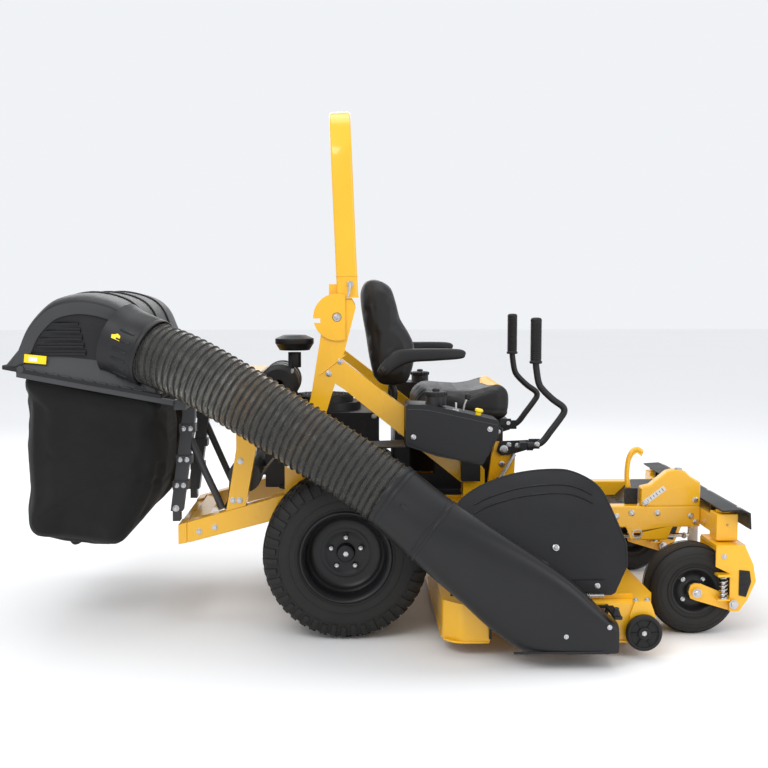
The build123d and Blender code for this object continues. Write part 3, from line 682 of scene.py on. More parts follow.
collar(bag, (298, -812, 455), (-0.79, 0.2, 0.58), 111, 121, 2.1, 3.2, 9)
collar(bag, (283, -808, 466), (-0.79, 0.2, 0.58), 112.5, 120.5, 2.1, 1.6, 5)
collar(bag, (156, -766, 568), (-0.79, 0.25, 0.56), 117, 117, 2.0, 3.0, 16)
# hose clamp with its screw housing
collar(bag, (172, -771, 556), (-0.79, 0.25, 0.56), 117.4, 117.4, 2.0, 1.8, 11, 2)
prism(bag, (196, -893, 552), (0.55, 0.1, -0.8), [(-14, 6), (-13, 7.5), (13, 7.5), (14, 6)], 10, 2)
# outlet flange against the deck, its ribs and fixings
for x in (500, 905):
    block(bag, x - 4, x + 4, -778, -764, 66, 184)
block(bag, 496, 909, -778, -764, 172, 182)
block(bag, 560, 860, -930.5, -926, 62, 70)
for x in (540, 700, 860):
    bolt(bag, (x, -771, 182), (0, 0, 1), 6, 5, 1)
bolt(bag, (735, -926, 120), (0, -1, 0), 6, 3, 1)
bolt(bag, (880, -925, 150), (0, -1, 0), 6, 3, 1)
# mounting strap and turn latch at the front tip
block(bag, 896, 922, -928, -790, 176, 186)
prism(bag, (906, -905, 186), (0, 0, 1), [(0, 15), (6, 14), (18, 9), (24, 9), (26, 6)], 20, 0)
bag.make("boot_trim", [SMOOTH, STEEL, BLKP], "deck", slot="black_plastic", bevel=1.0)


# ---------------------------------------------------------------- bagger hood
TOPS = smooth_line([(-1226, 996), (-1202, 1016), (-1180, 1062), (-1148, 1138), (-1100, 1200), (-1046, 1240),
                    (-961, 1258),
                    (-880, 1248), (-815, 1222), (-776, 1180), (-752, 1122), (-706, 1000), (-671, 893)], 4)


def hood_at(f, y, k=0.0):
    """Point f along the side profile at station y, drawn inward by k."""
    m = len(TOPS) - 1
    i = min(int(f * m), m - 1)
    g = f * m - i
    x = TOPS[i][0] * (1 - g) + TOPS[i + 1][0] * g
    z = TOPS[i][1] * (1 - g) + TOPS[i + 1][1] * g
    cx, cz = -930, 985
    e = max(0.0, (abs(y) - 360) / 140.0)
    lift = math.sqrt(max(0.0, 1 - min(1, e) ** 2.6))
    crown = 0.92 + 0.08 * math.cos(y / 500 * math.pi / 2)
    sc = (0.86 + 0.14 * lift) * (0.985 + 0.015 * crown)
    zz = cz + (z - cz) * sc if z > cz else z
    xx = cx + (x - cx) * (0.955 + 0.045 * lift)
    r = math.hypot(xx - cx, zz - cz) or 1
    return (xx - (xx - cx) / r * k, y, zz - (zz - cz) / r * k)


STN = [-499, -497, -492, -484, -472, -455, -430, -400, -360, -300, -200, -100, 0, 100, 200, 300, 360, 400,
       430, 455, 472, 484, 492, 497, 499]
bag = Bag()
rings = []
for y in STN:
    rings.append([hood_at(i / 48, y) for i in range(49)])
ring_mesh(bag, rings, 0, closed=False)
rings2 = [[hood_at(i / 48, y * 0.99, 5) for i in range(49)] for y in STN]
ring_mesh(bag, rings2, 0, closed=False)
# side walls: dished panel inside the outer band
for e in (-1, 1):
    levels = []
    for k, yy in ((0, 499), (10, 499.6), (34, 499.6), (42, 496), (50, 486), (78, 480), (120, 477)):
        base = [hood_at(i / 48, 499) for i in range(49)]
        cx, cz = -945, 1000
        ring = []
        for x, _, z in base:
            r = math.hypot(x - cx, (z - cz)) or 1
            kk = min(k, r * 0.9)
            ring.append((x - (x - cx) / r * kk, e * yy, max(z - (z - cz) / r * kk, 0)))
        levels.append(ring)
    ring_mesh(bag, levels[:4], 1, closed=False)
    ring_mesh(bag, levels[3:], 0, closed=False)
    last = levels[-1]
    bag.add(last, [tuple(range(len(last)))], 0)
    # lower side wall
    bag.add([(-1222, e * 497, 994), (-673, e * 497, 892), (-690, e * 478, 990), (-1180, e * 478, 1050)],
            [(0, 1, 2, 3)], 1)
hood = bag.make("hood_shell", [PLAS, PLASG], "hood", slot="black_plastic", angle=42)
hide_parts("hood")

# inlet collar, moulded louvres, labels, rim lip and latch strip
AX = Vector((-0.876, 0.364, 0.341))
A0 = Vector((-690, -487.5, 1039))
bag = Bag()


def sleeve(bag, c, d, prof, n=64):
    """Turned (offset, radius) outline about the axis d."""
    d = Vector(d).normalized()
    rs = []
    for off, r in prof:
        rs.append(super_ring(tuple(Vector(c) + d * off), d, r, r, 2.0, n))
    ring_mesh(bag, rs)


sleeve(bag, tuple(A0), AX, [(2, 119.4), (0, 121), (0, 125), (3, 127), (14, 127), (18, 124.5), (22, 124.5),
                            (26, 127), (95, 127),
                            (130, 130), (150, 136), (150, 122), (2, 119.4)])
for k in range(9):
    t = math.radians(150 + k * 16)
    d, a, b = frame_of(AX)
    c = A0 + AX * 62
    p = c + a * (126 * math.cos(t)) + b * (126 * math.sin(t))
    prism(bag, p - AX * 30, AX, [(0, 2), (3, 5), (58, 5), (62, 2)], 8)
bag.make("hood_inlet", PLAS, "hood", slot="black_plastic", angle=40)

bag = Bag()
for e in (-1, 1):
    for k in range(5):
        # stacked louvre slats in the recess of the side wall
        z = 1035 + k * 27
        x0, x1 = -1120 + k * 9, -935 - k * 6
        block(bag, x0, x1, e * 478, e * 490, z, z + 7)
        block(bag, x0, x1, e * 476, e * 482, z + 7, z + 18, 1)
    # rim lip and slotted latch strip along the bottom edge
    for k in range(10):
        f0, f1 = k / 10, (k + 0.78) / 10
        xa, xb = -1150 + 430 * f0, -1150 + 430 * f1
        za, zb = 978 - (xa + 1150) * 0.1875, 978 - (xb + 1150) * 0.1875
        y0, y1 = e * 494, e * 505
        bag.add([(xa, y0, za - 2), (xb, y0, zb - 2), (xb, y1, zb - 2), (xa, y1, za - 2),
                 (xa, y0, za + 10), (xb, y0, zb + 10), (xb, y1, zb + 10), (xa, y1, za + 10)],
                SLAB, 2)
    bag.add([(-1229, e * 490, 985), (-664, e * 490, 878.5), (-664, e * 507, 878.5), (-1229, e * 507, 985),
             (-1229, e * 490, 999), (-664, e * 490, 892.5), (-664, e * 507, 892.5), (-1229, e * 507, 999)],
            SLAB, 0)
    prism(bag, (-1165, e * 500, 985), (0, e, 0), [(0, 14), (8, 13), (9, 9)], 18, 2)
# rear and front rims
block(bag, -1230, -1222, -500, 500, 984, 1000)
block(bag, -674, -662, -500, 500, 880, 896)
# moulded ribs over the top
for y in (-250, 0, 250):
    pts = [hood_at(i / 24, y, -2.0) for i in range(2, 22)]
    tube(bag, pts, 5, 8, 0, per=2)
bag.make("hood_trim", [PLAS, SMOOTH, PLASG], "hood", slot="black_plastic", bevel=1.2)
bag = Bag()


def plate(bag, c, u, v, n, w, h, th=0.8, mi=0):
    """Thin label of width w along u and height h along v, raised along n."""
    u, v, n = Vector(u).normalized(), Vector(v).normalized(), Vector(n).normalized()
    c = Vector(c)
    vs = []
    for k in (0, th):
        for a, b in ((-1, -1), (1, -1), (1, 1), (-1, 1)):
            vs.append(c + u * (a * w / 2) + v * (b * h / 2) + n * k)
    bag.add(vs, SLAB, mi)


plate(bag, (-1112, -500.2, 1021), (1, 0, -0.1), (0.1, 0, 1), (0, -1, 0), 79, 30)
plate(bag, (-1120, -501.0, 1021), (1, 0, -0.1), (0.1, 0, 1), (0, -1, 0), 30, 16, 0.3, 1)
p = A0 + AX * 82 + Vector((-0.36, -0.87, 0.35)).normalized() * 127.6
plate(bag, tuple(p), (0.9, -0.35, -0.35), (0.1, 0.4, 0.9), (-0.36, -0.87, 0.35), 36, 36)
bag.make("hood_labels", [LABY, LABW], "hood", slot="yellow_paint")


# ---------------------------------------------------------------- soft goods
def cloth_puff(o, press, cap, voxel, frames, pins=None):
    """Voxel remesh, inflate with cloth, cap the travel of every point, then apply."""
    bpy.context.view_layer.objects.active = o
    for x in bpy.context.selected_objects:
        x.select_set(False)
    o.select_set(True)
    rm = o.modifiers.new("remesh", "REMESH")
    rm.mode, rm.voxel_size = "VOXEL", voxel
    bpy.ops.object.modifier_apply(modifier="remesh")
    start = [v.co.copy() for v in o.data.vertices]
    if pins:
        g = o.vertex_groups.new(name="pin")
        for v in o.data.vertices:
            w = pins(v.co)
            if w > 0:
                g.add([v.index], w, "REPLACE")
    c = o.modifiers.new("cloth", "CLOTH")
    st = c.settings
    st.quality = 5
    st.mass = 0.3
    st.tension_stiffness = st.compression_stiffness = 12
    st.bending_stiffness = 1.2
    st.use_pressure = True
    st.uniform_pressure_force = press
    st.effector_weights.gravity = 0.0
    if pins:
        st.vertex_group_mass = "pin"
    c.point_cache.frame_start, c.point_cache.frame_end = 1, frames
    for f in range(1, frames + 1):
        bpy.context.scene.frame_set(f)
    bpy.ops.object.modifier_apply(modifier="cloth")
    for v, s0 in zip(o.data.vertices, start):
        d = v.co - s0
        if d.length > cap:
            v.co = s0 + d * (cap / d.length)
    bpy.context.scene.frame_set(1)
    for p in o.data.polygons:
        p.use_smooth = True
    o.vertex_groups.clear()
    md = o.modifiers.new("relax", "SMOOTH")
    md.factor, md.iterations = 0.5, 3
    bpy.ops.object.modifier_apply(modifier="relax")


def pad_mesh(outline, y0, y1, shrink, round_y, n=18):
    """Closed cushion: a side outline lofted across with its ends drawn in."""
    cx = sum(p[0] for p in outline) / len(outline)
    cz = sum(p[1] for p in outline) / len(outline)
    line = smooth_line(outline, 4, closed=True)
    rings = []
    for i in range(n + 1):
        f = i / n
        y = y0 + (y1 - y0) * f
        e = min(y - y0, y1 - y) / round_y
        k = shrink + (0 if e >= 1 else (1 - math.sqrt(max(0.0, 1 - (1 - e) ** 2))) * round_y)
        ring = []
        for x, z in line:
            r = math.hypot(x - cx, z - cz)
            ring.append((x - (x - cx) / r * k, y, z - (z - cz) / r * k))
        rings.append(ring)
    bag = Bag()
    ring_mesh(bag, rings, 0, cap0=True, cap1=True)
    return bag


def ridges(o, fn):
    """Move each point along its normal by fn of its place."""
    for v in o.data.vertices:
        d = fn(v.co)
        if d:
            v.co += v.normal * d


def mm(co):
    """Machine coordinates of a point of the scene."""
    return co.x * 1000 - XO, co.y * 1000 - YO, co.z * 1000


def subdivide(o):
    md = o.modifiers.new("sub", "SUBSURF")
    md.levels = md.render_levels = 1


def groove(t, w):
    """Bell curve of width w: the section of a seam or crease."""
    return math.exp(-(t / w) ** 2)


def fill_box(o, *spans):
    """Stretch a settled skin back to its cut size along each axis."""
    for axis, (lo, hi) in enumerate(spans):
        vals = [mm(v.co)[axis] for v in o.data.vertices]
        a, b = min(vals), max(vals)
        for v, t in zip(o.data.vertices, vals):
            v.co[axis] += ((lo + (t - a) * (hi - lo) / (b - a)) - t) / 1000


CUSH = [(262, 775), (250, 820), (270, 862), (310, 876), (400, 874), (500, 876), (570, 890), (620, 900),
        (648, 880), (652, 820),
        (640, 776), (560, 766), (420, 766), (330, 766)]
o = pad_mesh(CUSH, -247, 247, 8, 40).make("seat_cushion_skin", [VINYL, VINY], None)
cloth_puff(o, 5.0, 0.010, 0.0085, 14)


def cushion_seams(co):
    x, y, z = mm(co)
    d = 0.0
    if z > 830:
        d -= 5.0 * groove(abs(y) - 168, 6) * (x < 625)
        d -= 4.0 * groove(x - 560, 6) * (abs(y) < 168)
        for k in (330, 385, 440, 495):
            d -= 2.6 * groove(x - k, 7) * (abs(y) < 160)
    d -= 3.0 * groove(z - 800, 5)
    return d / 1000


ridges(o, cushion_seams)
for p in o.data.polygons:
    x, y, z = mm(p.center)
    p.material_index = 1 if (abs(y) < 205 and x > 545 + abs(y) * 0.12 and z > 866 - (x - 545) * 0.1) else 0
subdivide(o)
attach(o, "seat")
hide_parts("seat_cushion")

BACK = [(130, 892), (108, 960), (88, 1060), (72, 1160), (64, 1250), (68, 1305), (92, 1324), (130, 1322),
        (162, 1296), (186, 1230),
        (206, 1165), (240, 1105), (264, 1045), (266, 985), (254, 925), (238, 890), (180, 882)]
o = pad_mesh(BACK, -243, 243, 8, 46).make("seat_back_skin", [VINYL, VINY], None)
# the back narrows towards the top
for v in o.data.vertices:
    x, y, z = mm(v.co)
    f = max(0.0, (z - 1120) / 210)
    v.co.y = (y * (1 - 0.14 * f * f) + YO) / 1000
cloth_puff(o, 5.0, 0.010, 0.0085, 14)


def back_seams(co):
    x, y, z = mm(co)
    d = 0.0
    if x > 88 + (1323 - z) * 0.32:         # the front face
        d -= 5.0 * groove(abs(y) - 150, 6) * (z < 1255)
        d -= 4.5 * groove(z - 1215, 6) * (abs(y) < 150)
        for k in (960, 1015, 1070, 1125, 1170):
            d -= 2.6 * groove(z - k, 8) * (abs(y) < 144)
    d -= 3.0 * groove(x - (92 + (1310 - z) * 0.13), 5) * (940 < z < 1300)
    return d / 1000


ridges(o, back_seams)
subdivide(o)
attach(o, "seat")
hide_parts("seat_back")

# seat pan, hinge, back frame and suspension cover
bag = Bag()
block(bag, 246, 636, -212, 212, 745, 764, 1)
for s in (-1, 1):
    block(bag, 600, 644, s * 214, s * 222, 742, 768, 1)
    prism(bag, (632, s * 222, 752), (0, s, 0), [(0, 8), (9, 8)], 16, 2)
    tube(bag, [(150, s * 170, 780), (178, s * 172, 800), (190, s * 172, 860), (180, s * 172, 900)], 13, 12, 1)
    bolt(bag, (145, s * 247, 964), (0, s, 0), 8, 5, 2)
prism(bag, (430, 0, 738), (0, 0, 1), [(0, 60), (8, 60)], 32, 1)
bag.make("seat_pan", [VINYL, BLKP, STEEL], "seat", bevel=1.5, slot="black_paint")

for side, s in SIDES:
    # moulded armrest pad with a fore and aft taper, on its pivot casting
    arm = smooth_line([(196, 1041), (300, 1045), (420, 1044), (455, 1036), (458, 1020), (440, 1006),
                       (340, 998), (250, 992),
                       (196, 970), (160, 944), (128, 946), (122, 962), (140, 990), (166,
                               1020)], 4, closed=True)
    rings = []
    for i in range(13):
        f = i / 12
        y = 257 + 34 * f
        e = min(f, 1 - f) * 2
        k = (1 - math.sqrt(max(0, 1 - (1 - min(1, e * 1.3)) ** 2))) * 10
        ring = []
        for x, z in arm:
            cx, cz = min(max(x, 165), 430), 1020 - max(0, 196 - x) * 0.9
            r = math.hypot(x - cx, z - cz) or 1
            ring.append((x - (x - cx) / r * k, s * y, z - (z - cz) / r * k))
        rings.append(ring)
    bag = Bag()
    ring_mesh(bag, rings, 0, cap0=True, cap1=True)
    prism(bag, (145, s * 290, 964), (0, s, 0), [(0, 14), (4, 13), (7, 9)], 24, 1)
    prism(bag, (145, s * 257, 964), (0, -s, 0), [(0, 13), (5, 13)], 24, 1)
    o = bag.make("armrest_pad_" + side, [VINYL, BLKP], "armrest_" + side, slot="vinyl", angle=50)
    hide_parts("armrest_" + side)

# fabric bags: an open sack hung from a stiff rim, sagging and creased
BAGP = [(-1160, 962), (-920, 918), (-680, 874), (-672, 780), (-668, 640), (-700, 500), (-760, 390),
        (-824, 318), (-920, 318),
        (-1060, 336), (-1176, 358), (-1182, 500), (-1180, 680), (-1172, 840)]
for side, s in SIDES:
    o = pad_mesh(BAGP, s * 14 if s > 0 else -486, 486 if s > 0 else -14, 1, 24, 16).make("bag_skin_" + side,
            [CLOTH, WEB, PLAS], None)
    rnd = random.Random(7 + s)

    def pin(co):
        x, _, z = mm(co)
        return 1.0 if z > 985 - (x + 1229) * 0.1875 - 60 else 0.0

    cloth_puff(o, 2.6, 0.016, 0.0105, 18, pins=pin)
    fill_box(o, (-1184, -666), tuple(sorted((s * 12, s * 488))), (312, 966))
    waves = [(rnd.uniform(0, 6.28), rnd.uniform(0.8, 1.3)) for _ in range(8)]

    def folds(co, waves=waves):
        x, _, z = mm(co)
        rim = max(0.0, min(1.0, (930 - z) / 220))
        low = max(0.0, min(1.0, (z - 330) / 60))
        d = 0.0
        # long hanging folds from the rim, cross creases lower down, gathers near the bottom seam
        d += 2.8 * math.sin(x / 61 * waves[0][1] + waves[0][0] + z / 400) * rim
        d += 2.2 * math.sin(x / 33 + waves[1][0] + math.sin(z / 90) * 1.1) * rim * (0.4 + 0.6 * low)
        d -= 6.0 * groove(z - (640 - 0.22 * (x + 1000) + 16 * math.sin(x / 90 + waves[2][0])),
                          11) * (x > -1080)
        d -= 4.5 * groove(z - (520 + 0.5 * (x + 960) + 12 * math.sin(x / 70 + waves[3][0])),
                          10) * (-1120 < x < -800)
        d -= 4.0 * groove(z - (760 + 0.3 * (x + 900)), 9) * (x > -960)
        d += 2.0 * math.sin(z / 47 + waves[4][0] + x / 130) * rim
        d += 2.4 * math.sin(z / 24 + waves[5][0]) * max(0, (430 - z) / 120)
        return d / 1000

    ridges(o, folds)
    subdivide(o)
    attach(o, "bag_" + side)
    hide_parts("bag_" + side)
    bag = Bag()
    y0, y1 = sorted((s * 10, s * 490))
    # stiff rim and the grab loop under the bottom
    ring = []
    for x, y in ((-1160, y0 + 4), (-1160, y1 - 4), (-680, y1 - 4), (-680, y0 + 4)):
        ring.append((x, y, 965 - (x + 1160) * 0.1875))
    for i in range(4):
        tube(bag, [ring[i], ring[(i + 1) % 4]], 6.5, 10, 0, per=1)
    ym = (y0 + y1) / 2
    tube(bag, [(-1040, ym - 90, 330), (-1035, ym - 60, 308), (-1030, ym, 300), (-1035, ym + 60, 308),
               (-1040, ym + 90, 330)], 7, 8, 1)
    bag.make("bag_rim_" + side, [PLAS, WEB], "bag_" + side, slot="fabric")


# ---------------------------------------------------------------- roll bar
def sweep_box(bag, pts, hw, hd, r, axis):
    """Square tube with rounded corners, swept along a line in a plane normal to axis."""
    ax = Vector(axis)
    sec = []
    for qx, qy, turn in ((1, 1, 0), (-1, 1, 90), (-1, -1, 180), (1, -1, 270)):
        for k in range(4):
            t = math.radians(turn + k * 30)
            sec.append((qx * (hw - r) + r * math.cos(t), qy * (hd - r) + r * math.sin(t)))
    rings = []
    for i, p in enumerate(pts):
        q = Vector(pts[min(i + 1, len(pts) - 1)]) - Vector(pts[max(i - 1, 0)])
        q.normalize()
        side_v = q.cross(ax).normalized()
        rings.append([tuple(Vector(p) + side_v * u + ax * v) for u, v in sec])
    ring_mesh(bag, rings, 0, cap0=True, cap1=True)


def arc_path(pts, rad, n=8):
    """Straight runs joined by arcs of radius rad, in the order given."""
    out = [Vector(pts[0])]
    for i in range(1, len(pts) - 1):
        a, b, c = Vector(pts[i - 1]), Vector(pts[i]), Vector(pts[i + 1])
        u, v = (a - b).normalized(), (c - b).normalized()
        ang = u.angle(v)
        d = rad / math.tan(ang / 2)
        p0, p1 = b + u * d, b + v * d
        ctr = b + (u + v).normalized() * (rad / math.sin(ang / 2))
        for k in range(n + 1):
            w = (p0 - ctr).normalized().slerp((p1 - ctr).normalized(), k / n)
            out.append(ctr + w * rad)
    out.append(Vector(pts[-1]))
    return [tuple(p) for p in out]


HOOP_X, LEAN = 9.0, math.radians(2.4)


def on_hoop(y, h, fore=0.0):
    """Point on the hoop's centre line: across, up along its lean, and forward of it."""
    return (HOOP_X - h * math.sin(LEAN) + fore * math.cos(LEAN), y,
            1242 + h * math.cos(LEAN) + fore * math.sin(LEAN))


bag = Bag()
hoop_path = arc_path([on_hoop(y, h) for y, h in ((-365, 0), (-365, 527), (-300, 655), (300, 655), (365, 527),
                                                 (365, 0))], 90, 8)
sweep_box(bag, hoop_path, 39, 39, 9, (math.cos(LEAN), 0, math.sin(LEAN)))
for s in (-1, 1):
    block(bag, -60, -2, s * 342, s * 388, 1128, 1290)
hoop = bag.make("hoop_tube", YEL, "rops_hoop", slot="yellow_paint", angle=40)
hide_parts("rops_hoop")
bag = Bag()
for s in (-1, 1):
    for e in (-1, 1):
        bolt(bag, (-31, s * 365 + e * 39, 1169), (0, e, 0), 11, 8, 0)
    # lock pin with a bent handle and a lanyard ring
    px, _, pz = on_hoop(0, 48, 11)
    tube(bag, [(px, s * 300, pz), (px, s * 365, pz), (px, s * 420, pz)], 6.5, 14, 0, per=1)
    prism(bag, (px, s * 404, pz), (0, s, 0), [(0, 12), (4, 12)], 20, 0)
    tube(bag, [(px, s * 419, pz), (px - 3, s * 421, pz - 22), (px - 8, s * 418, pz - 46)], 5, 10, 0, per=4)
    # seam band where the reinforcing sleeve ends, and the foot collar
    for h, g in ((78, 3), (3, 9)):
        x, _, z = on_hoop(0, h)
        block(bag, x - 41, x + 41, s * 323.5, s * 406.5, z - g / 2, z + g / 2, 1)
bag.make("hoop_fixings", [STEEL, YEL], "rops_hoop", bevel=1.0, slot="steel")

bag = Bag()
for s in (-1, 1):
    y = s * 403
    for x, z in ((-208, 620), (-178, 700), (470, 570), (500, 500)):
        bolt(bag, (x, y, z), (0, s, 0), 10, 8)
    for x, z in ((-20, 1005), (-62, 960)):
        bolt(bag, (x, y, z), (0, s, 0), 8, 6)
    # weld bead along the brace
    tube(bag, [(-96, y + s * 0.5, 955), (-50, y + s * 0.8, 990), (0, y + s * 0.5, 1030)], 2.5, 8, 1)
bag.make("rops_bolts", [STEEL, YEL], "chassis", bevel=0.8, slot="steel")


# ---------------------------------------------------------------- discharge deflector
bag = Bag()
PROF = smooth_line([(-739, 210), (-722, 305), (-702, 400), (-684, 470), (-664, 530), (-632, 582),
                    (-594, 625)], 4)
DOME = smooth_line([(368, 470), (400, 525), (477, 575), (600, 613), (735, 627), (820, 617), (898, 572),
                    (940, 490), (986, 373)], 5)
DOME_X0, DOME_X1 = 368.5, 984.0


def along(line, t, key, val):
    """Value of one coordinate of a line where the other one is t."""
    for p, q in zip(line, line[1:]):
        if p[key] <= t <= q[key]:
            return p[val] + (q[val] - p[val]) * (t - p[key]) / ((q[key] - p[key]) or 1)
    return line[-1][val] if t > line[-1][key] else line[0][val]


def dome_top(x):
    return along(DOME, x, 0, 1)


def dome_foot(x):
    return 208 + max(0.0, x - 938) * 2.05


rings = []
M = 44
for i in range(M + 1):
    x = DOME_X0 + (DOME_X1 - DOME_X0) * i / M
    foot = dome_foot(x)
    ring = []
    for j in range(len(PROF)):
        zz = foot + (dome_top(x) - foot) * j / (len(PROF) - 1)
        ring.append((x, along(PROF, zz, 1, 0), zz))
    rings.append(ring)
ring_mesh(bag, rings, 0, closed=False)
ring_mesh(bag, [[(x, y + 5, z) for x, y, z in r] for r in rings], 0, closed=False)
edge = [r[-1] for r in rings]
tube(bag, [(x, y + 2.5, z) for x, y, z in [rings[0][0]] + edge + [rings[-1][0]]], 4.2, 10, 0, per=2)
# moulded stiffening channels and fixing strap along the hinge
for off in (46, 74):
    pts = []
    for i in range(6, M - 7, 2):
        x = DOME_X0 + (DOME_X1 - DOME_X0) * i / M
        zz = dome_top(x) - off
        pts.append((x, along(PROF, zz, 1, 0) - 0.5, zz))
    tube(bag, pts, 3.0, 8, 0, per=2)
block(bag, 400, 906, -746, -741, 222, 262, 1)
for x in (430, 540, 653, 766, 876):
    bolt(bag, (x, -746, 243), (0, -1, 0), 7, 5, 2)
bolt(bag, (735, -716, 372), (0, -1, 0.3), 8, 6, 2)
d = bag.make("deflector_sheet", [SMOOTH, BLKP, STEEL], "deflector", slot="rubber", angle=45)
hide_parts("deflector")
bag = Bag()
tube(bag, [(405, -739, 206), (901, -739, 206)], 7, 14, 0, per=1)
sp = []
for k in range(97):
    t = 2 * math.pi * k / 12
    sp.append((800 + k * 0.55, -739 + 10.5 * math.cos(t), 206 + 10.5 * math.sin(t)))
tube(bag, sp, 1.7, 8, 0, per=1)
bag.make("deflector_pin", STEEL, "deflector", slot="steel")

# ---------------------------------------------------------------- steering levers
for side, s in SIDES:
    y = s * 318
    bag = Bag()
    tube(bag, [(694, y, 672), (722, y, 677), (752, y, 692), (784, y, 734), (818, y, 780), (833, y, 806),
               (826, y, 826), (790, y, 852),
               (752, y, 888), (735, y, 914), (726, y, 960), (722, y, 1010), (722, y,
                       1150)], 12.8, 20, 0, per=6)
    prism(bag, (692, y, 674), (1, 0, 0), [(0, 17), (22, 17), (23, 15)], 28, 0)
    bolt(bag, (715, y, 674), (1, 0, 0), 8, 6, 1)
    # height plate with its adjustment bolt
    block(bag, 700, 742, y - 4 - s * 14, y + 4 - s * 14, 662, 700, 0)
    bolt(bag, (728, y + s * 12, 682), (0, s, 0), 7, 6, 1)
    o = bag.make("lever_tube_" + side, [BLKP, STEEL], "lever_" + side, slot="black_paint", angle=45)
    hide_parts("lap_bar_" + side)
    bag = Bag()
    pts = [(990, 13.2), (990, 22), (993, 24), (998, 24), (1002, 20.4)]
    k = 1006
    while k < 1146:
        pts += [(k, 20.2), (k + 1.5, 21.6), (k + 4.5, 21.6), (k + 6, 20.2)]
        k += 7.4
    pts += [(1150, 21.5), (1158, 21), (1163, 17), (1164.5, 9), (1165, 1)]
    rs = [[(722 + r * math.cos(2 * math.pi * i / 28), y + r * math.sin(2 * math.pi * i / 28),
            a) for i in range(28)] for a, r in pts]
    ring_mesh(bag, rs, 0, cap1=True)
    o = bag.make("lever_grip_" + side, RUB, "lever_" + side, slot="rubber", angle=30)
    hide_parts("lap_grip_" + side)
    bag = Bag()
    bolt(bag, (605, s * 304, 660), (0, s, 0), 11, 8, 0)
    bolt(bag, (660, s * 296, 672), (0, s, 0), 8, 6, 0)
    bolt(bag, (625, s * 296, 676), (0, s, 0), 7, 6, 0)
    bag.make("lever_bolts_" + side, STEEL, "lever_base_" + side, slot="steel")
    # damper from the lever base down to the frame tower
    bag = Bag()
    tube(bag, [(648, s * 292, 640), (600, s * 300, 560), (560, s * 300, 500)], 8, 14, 0, per=2)
    tube(bag, [(590, s * 300, 545), (556, s * 300, 494)], 12, 16, 1, per=2)
    for x, z in ((585, 500), (600, 600), (625, 520)):
        bolt(bag, (x, s * 284, z), (0, s, 0), 8, 6, 0)
    bag.make("tower_bolts_" + side, [STEEL, BLKP], "chassis", slot="steel")

# ---------------------------------------------------------------- chassis fittings
bag = Bag()
for s in (-1, 1):
    y = s * 315
    for x, z in ((-560, 350), (-500, 366), (1040, 400), (1100, 412), (1200, 412), (1330, 400), (1350, 376),
                 (700, 400), (800, 400)):
        bolt(bag, (x, y, z), (0, s, 0), 8, 6)
    prism(bag, (1124, y, 330), (0, s, 0), [(0.2, 20), (1.2, 20), (1.2, 15)], 28, 0, cap=False)
    # hanger bolts and clevis ends of the lift rods
    for x in (965, 1355):
        bolt(bag, (x, s * 152, 287), (0, s, 0), 9, 7)
    # grease nipple on the caster swivel tube
    prism(bag, (SWIVEL_X, s * CASTER_Y + s * 41, 405), (0, s, 0), [(0, 4), (3, 4), (6, 2.5), (9, 3.4),
            (11, 2)], 12)
    # bolts at the rear of the rails
    for x, z in ((-430, 470), (-405, 470), (-400, 620)):
        bolt(bag, (x, y, z), (0, s, 0), 8, 6)
bag.make("frame_bolts", STEEL, "chassis", slot="steel")
for side, s in SIDES:
    bag = Bag()
    cy = s * CASTER_Y
    # cap on the swivel
    prism(bag, (SWIVEL_X, cy, 448.5), (0, 0, 1), [(0, 29), (3, 30), (7, 28), (9, 18)], 40, 1)
    for e in (-1, 1):
        bolt(bag, (1415, cy + e * 109, 125), (0, e, 0), 12, 8, 0)
        # slotted wear plate on the front of each fork leg
        y = cy + e * 97
        vs = [(1436, y, 250), (1474, y, 246), (1480, y, 206), (1462, y, 150), (1436, y, 156)]
        v2 = [(a, b + e * 4, z) for a, b, z in vs]
        n = len(vs)
        bag.add(vs + v2, [tuple(range(n)), tuple(range(n, 2 * n))[::-1]] + [(i, (i + 1) % n, n + (i + 1) % n,
                n + i) for i in range(n)], 2)
        for k in range(4):
            zz = 168 + k * 20
            block(bag, 1442, 1466, y + e * 4, y + e * 6, zz, zz + 9, 2)
        bolt(bag, (1380, y, 300), (0, e, 0), 7, 5, 0)
    bag.make("fork_trim_" + side, [STEEL, BLKP, PLAS], "caster_" + side, bevel=0.8, slot="steel")
    bag = Bag()
    for e in (-1, 1):
        bolt(bag, (CASTER_X, cy + e * 98, CASTER_Z), (0, e, 0), 12, 8, 0)
        prism(bag, (1376, cy + e * 104.5, 147), (0, 0, 1), [(0, 17), (3, 17), (3, 8), (60, 8), (62, 6)], 20,
              0)
    bag.make("arm_trim_" + side, [STEEL], "caster_link_" + side, slot="steel")

